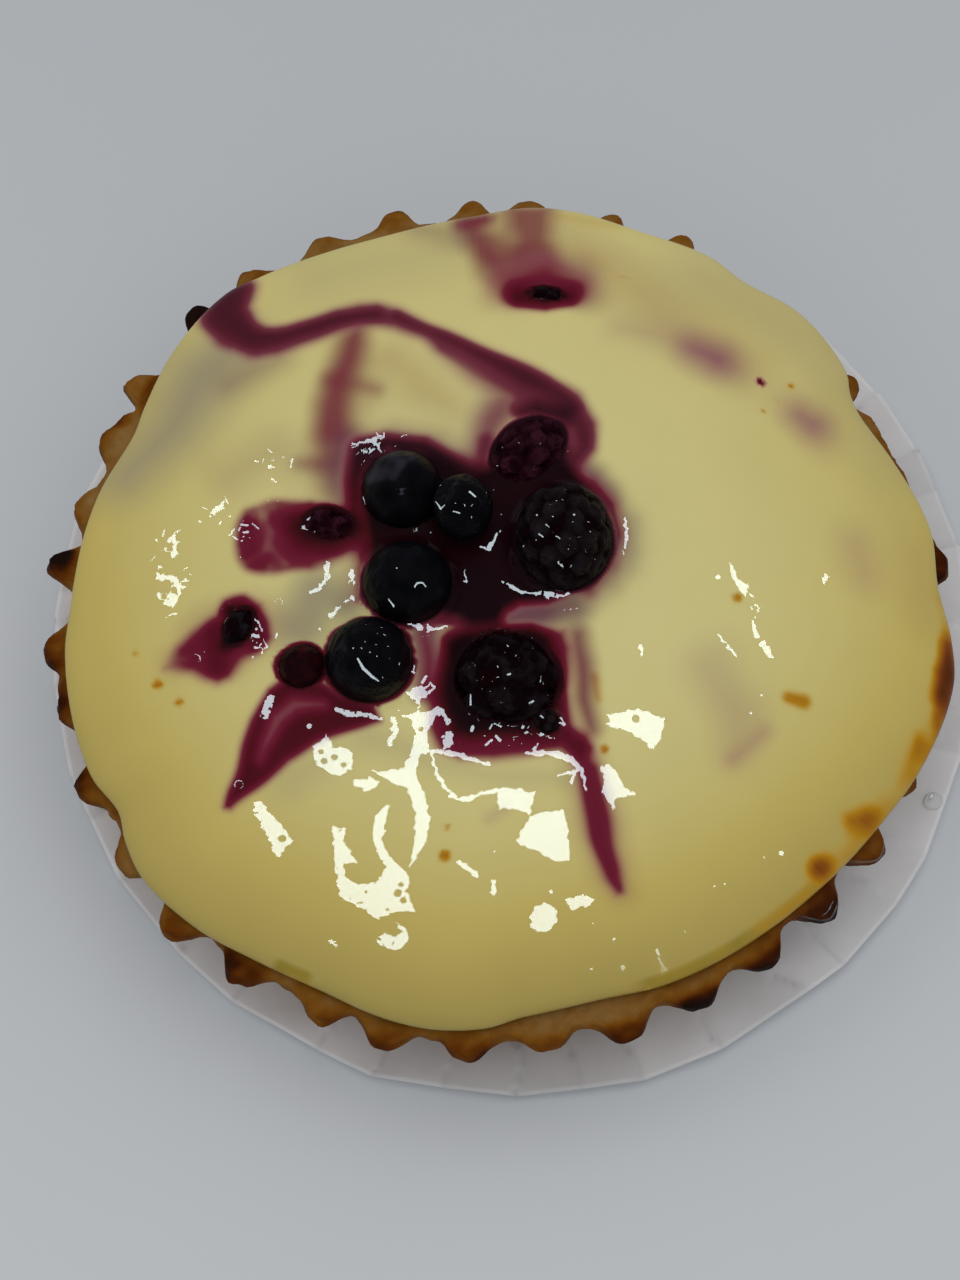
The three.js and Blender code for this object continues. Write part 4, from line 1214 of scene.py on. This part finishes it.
LILAC = [
    (0.88, 3.4, [(26.3, 34.6, 1.6), (29.3, 33.2, 2.1)]),
    (0.32, 3.4, [(16, 37.8, 0.8), (23, 36.4, 1.8), (31, 32, 2.4)]),
    (0.8, 3.4, [(40.4, 25.2, 1.3), (42, 24, 1.8)]),
    (0.24, 3.4, [(38, 27, 1.4), (43, 21.5, 2)]),
    (0.28, 3.6, [(46.5, 7, 1.8), (47.5, 2.5, 1.8)]),
    (0.42, 1.8, [(29.4, -22.6, 0.7), (33.5, -19.2, 0.8)]),
    (0.24, 4, [(26, -11, 2), (30, -17, 2.5), (29.5, -22, 1.5)]),
    (0.3, 1.4, [(-1.5, -30.5, 0.5), (0.5, -29.4, 0.5)]),
]
GREY_AND_SHADE = [
    (0.84, 2.8, [(-26, -5, 3.2), (-23.5, -0.5, 3.2), (-20.5, -2, 2.8)]),
    (0.3, 3, [(-27, -25, 3), (-22, -22.5, 2)]),
    (0.4, 2.4, [(17.5, 9, 1.2), (17, 3, 1.2)]),
    (0.2, 4, [(28, -9, 2.5), (31, -17, 3)]),
    (0.3, 2, [(-17, -20, 2), (-3, -25, 1), (8, -25.5, 1)]),
    # Along the back and the sides of the rim the custard is painted greyer: painted shade where the dome
    # falls away.
    (0.88, 5.5, [(-50, 17, 3), (-44, 23.5, 4), (-40, 31, 5), (-36, 35, 4)]),
    (0.25, 6, [(-24, 47, 5), (-8, 50, 4)]),
    (0.35, 7, [(28, 46, 5), (44, 36, 5), (52, 22, 4)]),
    (0.15, 6, [(53, 14, 3), (54, 2, 3)]),
]
print("strokes of mauve", len(MAUVE), "lilac", len(LILAC), "grey_and_shade", len(GREY_AND_SHADE))

# %% Toasted spots and rim
TOAST = [
    # Orange specks
    (0.55, 0.5, [(-44.3, -12.5, 0.75)]),
    (0.48, 0.5, [(-41.3, -15, 0.65)]),
    (0.36, 0.5, [(-47.5, -8.3, 0.5)]),
    (0.5, 0.9, [(36.9, -14.5, 0.8), (39, -15.1, 1)]),
    (0.55, 0.6, [(-7.2, -35.5, 0.8)]),
    (0.42, 0.4, [(-7, -31.7, 0.45)]),
    (0.5, 0.5, [(13.3, -21.7, 0.6)]),
    (0.46, 0.6, [(30.8, -1.2, 0.7)]),
    (0.32, 0.9, [(11.9, -12, 0.7), (12.5, -15, 0.6)]),
    (0.6, 0.3, [(17, 45.5, 0.25)]),
    (0.55, 0.4, [(39.2, 29.3, 0.4)]),
    (0.45, 0.4, [(37, 27.3, 0.3)]),
    (0.5, 0.4, [(35.2, 25.7, 0.3)]),
    # Tan tints
    (0.12, 3.4, [(-14, 33, 2.2), (-11, 29, 3.2), (-7, 26.5, 2.4)]),
    (0.1, 4, [(11, 49, 3), (18, 44, 4), (30, 40, 4), (36, 34, 3)]),
    (0.18, 1.6, [(8, 55.8, 1.2), (16, 54.8, 1.2)]),
    # Browned by the heat near the right rim
    (0.95, 1.6, [(58.6, -6.5, 0.8), (58.2, -10.4, 1.6), (57.2, -13.6, 1.1)]),
    (0.18, 2.8, [(56.6, -14, 1), (53.6, -20, 1.8), (51.2, -25, 1.2)]),
    (0.22, 2, [(52.6, -22.6, 0.8), (53.8, -20, 0.8)]),
    (0.62, 1.9, [(44.6, -30.2, 1.2), (46.6, -29.8, 1.6)]),
    (0.2, 2, [(49, -28, 1.2), (45, -33, 1.2), (41, -36, 1.4)]),
    (0.78, 1.4, [(40.3, -36.2, 1.5)]),
    (0.25, 1.5, [(38.6, -39.4, 0.7), (33, -43.6, 0.7)]),
    (0.3, 1.4, [(-27, -50.4, 0.8), (-24.6, -51.4, 0.8)]),
]
BROWNED_RIM = {4: 0.08, 12: 0.0, 250: 0.0, 275: 0.06, 290: 0.12, 305: 0.16, 320: 0.18, 335: 0.22, 341: 0.40,
               345: 0.75, 350: 0.85, 353: 0.5, 358: 0.22}
OLIVE_RIM = {236: 0, 240: 1, 244: 1, 248: 0, 278: 0, 290: 1, 318: 1, 328: 0}
print("toasted strokes", len(TOAST))

# %% How strong the juice is at a point
CRIMSON_SIDE = 12.0
CRIMSON_PIECE = [(3, 44, 5.0), (9, 44, 5.0)]
PLUM_BERRIES = [(-16.9, -9, 5.6), (-12, 0, 6.2), (-4, -1, 4.0), (8, 6, 8.0)]
WARP = 0.12
STAIN_EDGE = (0.25, 0.75)


def drifted(flat):
    """Moves the points a little aside, so that what is drawn there has no clean line."""
    return flat + np.stack([WARP * ripple(flat, 8, seed) for seed in (51, 52)], axis=1)


def juice_at(flat):
    there = drifted(flat)
    return layered(there, JUICE) * (1 - layered(there, PALE_VEINS))


def beside_stain(flat):
    juice = juice_at(flat)
    return (juice > STAIN_EDGE[0]) & (juice < STAIN_EDGE[1])


print("juice at the middle of the tartlet", round(float(juice_at(np.zeros((1, 2)))[0]), 2))

# %% [markdown]
# The custard is one dome with a rolled edge that hangs over the rim in lobes. Its section is turned with
# close rings, and the edge is a smooth closed curve through a few measured radii. The faces near a glint and
# beside a stain are split finer with Subdivide, so that both get clean edges and the rest stays light.

# %% Custard sizes
GAP = 0.3
CROWN_HEIGHT = 7.0
EDGE_HEIGHT = 1.2
EDGE_TUCK = 1.6
CROWN_POWER = 2.8
FILLING_COLUMNS = 360
FILLING_RINGS = 108
NEAR_GLINT = 0.35
FILLING_EDGE = np.array([
    [2, 58], [10, 58.3], [20, 56.7], [28, 55.6], [32, 56.2], [35, 57.7], [45, 58.8], [54, 57.6],
    [60, 58.3], [70, 57.8], [80, 58.4], [86, 58.2], [94, 56.8], [106, 56], [115, 56.5], [125, 57.8],
    [130, 58.6], [140, 57.6], [150, 55.7], [155, 54.9], [165, 56], [181, 56.8], [187, 57.6],
    [204, 58], [210, 56.8], [214, 58], [219, 58.9], [228, 58.3], [237, 56.9], [246, 56.3], [256, 57],
    [262, 57], [268, 56.3], [273, 54.9], [283, 54.1], [292, 54.8], [312, 55.6], [327, 57.1],
    [338, 59], [349, 60.3], [355, 59.5],
])
print("measured radii of the edge", len(FILLING_EDGE))


# %% Custard helpers
def filling_edge(angle):
    """Radius of the custard's edge: a smooth closed curve through the measured points."""
    at = np.concatenate([FILLING_EDGE[-2:, 0] - 360, FILLING_EDGE[:, 0], FILLING_EDGE[:2, 0] + 360])
    size = np.concatenate([FILLING_EDGE[-2:, 1], FILLING_EDGE[:, 1], FILLING_EDGE[:2, 1]])
    slope = np.zeros(len(at))
    slope[1:-1] = (size[2:] - size[:-2]) / (at[2:] - at[:-2])
    degrees = np.mod(np.degrees(angle), 360)
    i = np.searchsorted(at, degrees, side="right") - 1
    span = at[i + 1] - at[i]
    t = (degrees - at[i]) / span
    return (size[i] * (1 + 2 * t) * (1 - t) ** 2 + slope[i] * span * t * (1 - t) ** 2
            + size[i + 1] * t * t * (3 - 2 * t) + slope[i + 1] * span * t * t * (t - 1))


def dome_height(share):
    crown = CROWN_HEIGHT - EDGE_HEIGHT
    return RIM_HEIGHT + EDGE_HEIGHT + crown * np.sqrt(np.clip(1 - share ** CROWN_POWER, 0, 1))


def refine(piece, wanted, cuts):
    """Splits the faces whose centres are wanted, so that small shapes there have enough corners."""
    bm = bmesh.new()
    bm.from_mesh(piece.data)
    bm.faces.ensure_lookup_table()
    centres = np.array([face.calc_center_median() for face in bm.faces])
    chosen = [bm.faces[index] for index in np.flatnonzero(wanted(centres))]
    edges = dict.fromkeys(edge for face in chosen for edge in face.edges)
    bmesh.ops.subdivide_edges(bm, edges=list(edges), cuts=cuts, use_grid_fill=True)
    bm.to_mesh(piece.data)
    bm.free()
    piece.data.shade_smooth()


print("crown of the dome", round(float(dome_height(np.zeros(1))[0]), 1), "mm above the table")

# %% Custard dome
ring_shares = 1 - (np.arange(FILLING_RINGS + 1) / FILLING_RINGS) ** 1.3
plug_floor = floor + GAP
underside = RIM_HEIGHT + GAP
dome_foot = RIM_HEIGHT + EDGE_HEIGHT - 0.01
lip = [(CREST_RADIUS - EDGE_TUCK, underside), (CREST_RADIUS - 0.6, underside + 0.2),
       (CREST_RADIUS - 0.12, underside + 0.55)]
section = [(0, plug_floor), (FLOOR_RADIUS - GAP, plug_floor), (CAVITY_RADIUS - GAP, RIM_HEIGHT - GAP),
           (CAVITY_RADIUS - GAP, underside), *lip,
           *((CREST_RADIUS * share, dome_height(share)) for share in ring_shares)]
custard = new_piece("custard", turned(section, FILLING_COLUMNS))
points = corners(custard)
radius = np.hypot(points[:, 0], points[:, 1])
cap = (points[:, 2] > underside - 0.01) & ((radius > CAVITY_RADIUS) | (points[:, 2] > underside + 0.1))
scale = np.where(cap, filling_edge(np.arctan2(points[:, 1], points[:, 0])) / CREST_RADIUS, 1)
points[:, :2] *= scale[:, None]
place_corners(custard, points)
refine(custard, lambda at: (at[:, 2] > dome_foot) & (glint_depth(at[:, :2]) > -NEAR_GLINT), 2)
print("faces after the glints", len(custard.data.polygons))
refine(custard, lambda at: (at[:, 2] > dome_foot) & beside_stain(at[:, :2]), 1)
points = corners(custard)
flat = points[:, :2].copy()
radius = np.hypot(*flat.T)
angle = np.arctan2(flat[:, 1], flat[:, 0])
share = radius / filling_edge(angle)
dome = points[:, 2] > dome_foot
level = np.where(dome, dome_height(share), points[:, 2])
print("custard faces", len(custard.data.polygons), "corners on the dome", int(dome.sum()))

# %% [markdown]
# Under each berry the custard dips into a pocket, and round each berry the wet glaze climbs a little, as
# liquid does on anything it wets. Juice seeps out there too, so every berry sits in a dark ring, which is
# also a painted shade in the narrow gap at its foot.

# %% Waves, pockets, the climbing glaze and the dark rings of juice and shade
WAVE_HEIGHT = 0.035
CALM_RADIUS = 57.0
MEAN_EDGE = 57.4
DEEPEST = 0.97
CLIMB_WIDTH = 0.9
CLIMB_LIMITS = (0.25, 1.3)
RING_WIDTH = 0.85
RING_UNEVENNESS = 0.3
POCKET_INSET = 0.8
POCKET_GAP = 0.25
wave = WAVE_HEIGHT * ripple(flat, 10, 41) * smooth_step((CALM_RADIUS - radius) / 8)
rise = np.zeros(len(points))
seep_and_gap_shade = np.zeros(len(points))
pocket = np.full(len(points), 1e9)
uneven_ring = RING_WIDTH * (1 + RING_UNEVENNESS * ripple(flat, 4, 43))
for name, berry in BERRIES.items():
    at, half = np.array(berry["at"]), np.array(berry["half"])
    turn = math.radians(berry.get("turn", 0))
    from_middle = flat - at[:2]
    u = (from_middle[:, 0] * math.cos(turn) + from_middle[:, 1] * math.sin(turn)) / half[0]
    v = (-from_middle[:, 0] * math.sin(turn) + from_middle[:, 1] * math.cos(turn)) / half[1]
    out = np.hypot(u, v)
    around = float(dome_height(np.array(np.hypot(*at[:2]) / MEAN_EDGE)))
    sunk = np.clip((around - at[2]) / half[2], 0, DEEPEST)
    waterline = math.sqrt(1 - sunk ** 2)
    away = (out - waterline) * half[:2].mean()
    climb = np.clip(at[2] - around, *CLIMB_LIMITS) if at[2] - half[2] < around else 0
    rise = np.maximum(rise, climb * np.exp(-((np.maximum(away, 0) / CLIMB_WIDTH) ** 1.5)))
    # A dark ring round each berry: seeped juice, and painted shade in the gap at its foot.
    seep_and_gap_shade = np.maximum(seep_and_gap_shade, smooth_step(1 - away / uneven_ring))
    below = at[2] - half[2] * np.sqrt(np.clip(1 - out ** 2, 0, 1)) - POCKET_GAP
    pocket = np.where(away < -POCKET_INSET, np.minimum(pocket, below), pocket)
points[:, 2] = np.where(dome, np.minimum(level + wave + rise, pocket), points[:, 2])
print("glaze climbs", round(float(rise.max()), 2), "mm to", round(float(points[:, 2].max()), 1), "mm")

# %% [markdown]
# Now every corner of the dome and of its rolled edge gets its amounts. The edge of the custard also ripens
# and browns with the angle, most of all on the right, where it touched the hot tin.

# %% Stain amounts
SEEP_AND_GAP_SHADE_STRENGTH = 0.97
RIPENESS_AND_SHADE = 0.84
MOST_RIPE_AND_SHADED = 0.8
DRY_EDGE = 0.85
on_top = dome | ((points[:, 2] > underside - 0.01) & (radius > CAVITY_RADIUS + 0.5))
warped = drifted(flat)
juice = np.maximum(juice_at(flat), SEEP_AND_GAP_SHADE_STRENGTH * seep_and_gap_shade)
rim_toast = by_angle(angle, BROWNED_RIM) * (1 + 0.15 * ripple(flat, 3, 56))
rim_toast *= smooth_step((share - 0.94 + 0.01 * ripple(flat, 4, 55)) / 0.06)
toast = 1 - (1 - layered(warped, TOAST)) * (1 - np.clip(rim_toast, 0, 1))
plum = smooth_step((flat[:, 1] - CRIMSON_SIDE) / 8) * (1 - cover(stroke_depth(flat, CRIMSON_PIECE), 2))
plum_berries = np.max([cover(stroke_depth(flat, [place]), 2) for place in PLUM_BERRIES], axis=0)
plum = np.where(flat[:, 0] > 25, 0, np.maximum(plum, plum_berries))
# Toward the front and the edge the custard is painted deeper and darker: its own colour, and painted shade.
front = 0.58 - 0.42 * flat[:, 1] / CALM_RADIUS
ripe_and_shade = np.clip(RIPENESS_AND_SHADE * share ** 2.5 * front, 0, MOST_RIPE_AND_SHADED)
ripe_and_shade = np.maximum(ripe_and_shade, by_angle(angle, OLIVE_RIM) * smooth_step((share - 0.945) / 0.04))
amounts = {"juice": juice, "blush": layered(warped, BLUSH), "mauve": layered(warped, MAUVE),
           "lilac": layered(warped, LILAC), "grey_and_shade": layered(warped, GREY_AND_SHADE), "toast": toast, "plum": plum}
for name, amount in amounts.items():
    paint(custard, name, np.where(on_top, amount, 0))
paint(custard, "ripe_and_shade", np.where(on_top, ripe_and_shade, MOST_RIPE_AND_SHADED))
paint(custard, "glaze", np.where(dome, 1 - DRY_EDGE * smooth_step((share - 0.9) / 0.08), 1 - DRY_EDGE))
print("stained share of the dome", round(float((juice[dome] > 0.3).mean()), 3))

# %% [markdown]
# Pale custard is warm cream that turns a deeper, darker yellow to the front and the edge: partly where it is
# thinner over the crust, partly a painted shade where the dome falls away from the light. Juice goes through
# pink and wine to nearly black as it gets stronger, so its colour is a ramp over its amount: crimson from
# the brambles in front, plum from the blueberries behind. The clear glaze on top is a coat, which mirrors
# without taking on any colour.

# %% Custard colours
CREAM_AND_SHADE_COLOURS = [
    (0.0, (0.82, 0.73, 0.315)),
    (0.4, (0.66, 0.52, 0.140)),
    (0.8, (0.46, 0.355, 0.095)),
    (1.0, (0.36, 0.260, 0.030)),
]
GREY_AND_SHADED_CREAM = (0.39, 0.33, 0.205, 1)
MAUVE_STAIN = (0.205, 0.078, 0.100, 1)
LILAC_STAIN = (0.32, 0.085, 0.160, 1)
BLUSH_STAIN = (0.240, 0.024, 0.050, 1)
CRIMSON_COLOURS = [
    (0.0, (0.50, 0.26, 0.21)),
    (0.25, (0.36, 0.10, 0.115)),
    (0.5, (0.21, 0.011, 0.036)),
    (0.7, (0.14, 0.0015, 0.017)),
    (0.85, (0.085, 0.0015, 0.006)),
    (1.0, (0.012, 0.0006, 0.003)),
]
PLUM_COLOURS = [
    (0.0, (0.50, 0.29, 0.24)),
    (0.25, (0.36, 0.12, 0.140)),
    (0.5, (0.22, 0.035, 0.060)),
    (0.7, (0.13, 0.012, 0.028)),
    (0.85, (0.06, 0.006, 0.016)),
    (1.0, (0.010, 0.0008, 0.004)),
]
TOAST_COLOURS = [
    (0.0, (0.68, 0.46, 0.08)),
    (0.4, (0.55, 0.26, 0.003)),
    (0.7, (0.34, 0.10, 0.003)),
    (0.85, (0.22, 0.05, 0.002)),
    (1.0, (0.11, 0.022, 0.002)),
]
print("juice runs through", len(CRIMSON_COLOURS), "colours from pink to black")

# %% Custard finish
TOAST_ENDS = (0.0, 0.45)
JUICE_ENDS = (0.0, 0.55)
custard_finish, tree, shader = new_material("glazed_custard")
cream, _ = mottled(tree, ramp(tree, painted(tree, "ripe_and_shade"), CREAM_AND_SHADE_COLOURS), 130.0, 0.07)
# Grey custard, and painted shade at the rim.
cream = mixed(tree, painted(tree, "grey_and_shade"), cream, GREY_AND_SHADED_CREAM)
cream = mixed(tree, painted(tree, "lilac"), cream, LILAC_STAIN)
toast_amount = painted(tree, "toast")
toast_cover = faded(tree, toast_amount, TOAST_ENDS, interpolation_type="SMOOTHSTEP")
cream = mixed(tree, toast_cover, cream, ramp(tree, toast_amount, TOAST_COLOURS))
cream = mixed(tree, painted(tree, "blush"), cream, BLUSH_STAIN)
cream = mixed(tree, painted(tree, "mauve"), cream, MAUVE_STAIN)
juice_amount = painted(tree, "juice")
juice_colour = mixed(tree, painted(tree, "plum"), ramp(tree, juice_amount, CRIMSON_COLOURS),
                     ramp(tree, juice_amount, PLUM_COLOURS))
juice_cover = faded(tree, juice_amount, JUICE_ENDS, interpolation_type="SMOOTHSTEP")
cream = mixed(tree, juice_cover, cream, juice_colour)
feed(tree, shader, {"Base Color": cream, "Roughness": 0.45, "Specular IOR Level": 0.2})
feed(tree, shader, {"Coat Weight": painted(tree, "glaze"), "Coat Roughness": 0.03})
settle(custard, points, custard_finish, "filling", "filling")
streaks = 1 - 0.12 * smooth_step((ripple(flat, 0.9, 64) - 0.7) / 0.6)
lean_to_lamp(custard, points, np.where(dome, cover(glint_depth(flat), GLINT_EDGE) * streaks, 0))

# %% [markdown]
# A drop of clear water lies on the paper to the right. It is a ball whose underside is pressed flat. Only
# its rim and one glint show, as on any clear drop. A grey film is painted at the rim, a painted reflection,
# and at the glint, a painted highlight; the film is thin everywhere else.

# %% Water drop
DROP_PLACE = np.array([59.5, -22.0])
DROP_SIZE = np.array([1.35, 1.3, 1.0])
DROP_FLAT = 0.35
DROP_RIM_AND_GLINT_GREY = (0.55, 0.56, 0.58, 1)
DROP_GLINT = [(-0.35, 0.3, 0.2), (-0.1, 0.5, 0.15)]
drop_height = PAPER_THICKNESS + float(paper_rise(np.linalg.norm(DROP_PLACE - PAPER_CENTRE)))
bm = bmesh.new()
bmesh.ops.create_icosphere(bm, subdivisions=5, radius=1)
drop_piece = new_piece("water_drop", bm)
skin = corners(drop_piece)
skin[:, 2] = np.maximum(skin[:, 2], -DROP_FLAT)
drop_points = skin * DROP_SIZE + [*DROP_PLACE, drop_height + DROP_FLAT]
rim = smooth_step((np.hypot(*skin[:, :2].T) - 0.78) / 0.2)
bright = cover(stroke_depth(skin[:, :2], DROP_GLINT), 0.1) * (skin[:, 2] > 0)
# The grey film is painted thicker at the rim and at the glint: a painted reflection and a painted highlight.
paint(drop_piece, "painted_rim_and_glint", 0.06 + 0.3 * rim + 0.9 * bright)
water_finish, tree, shader = new_material("clear_water")
colour, _ = mottled(tree, DROP_RIM_AND_GLINT_GREY, 400.0, 0.1)
feed(tree, shader, {"Base Color": colour, "Roughness": 0.02, "IOR": 1.33, "Alpha": painted(tree, "painted_rim_and_glint")})
settle(drop_piece, drop_points, water_finish, "paper")
lean_to_lamp(drop_piece, drop_points, bright)
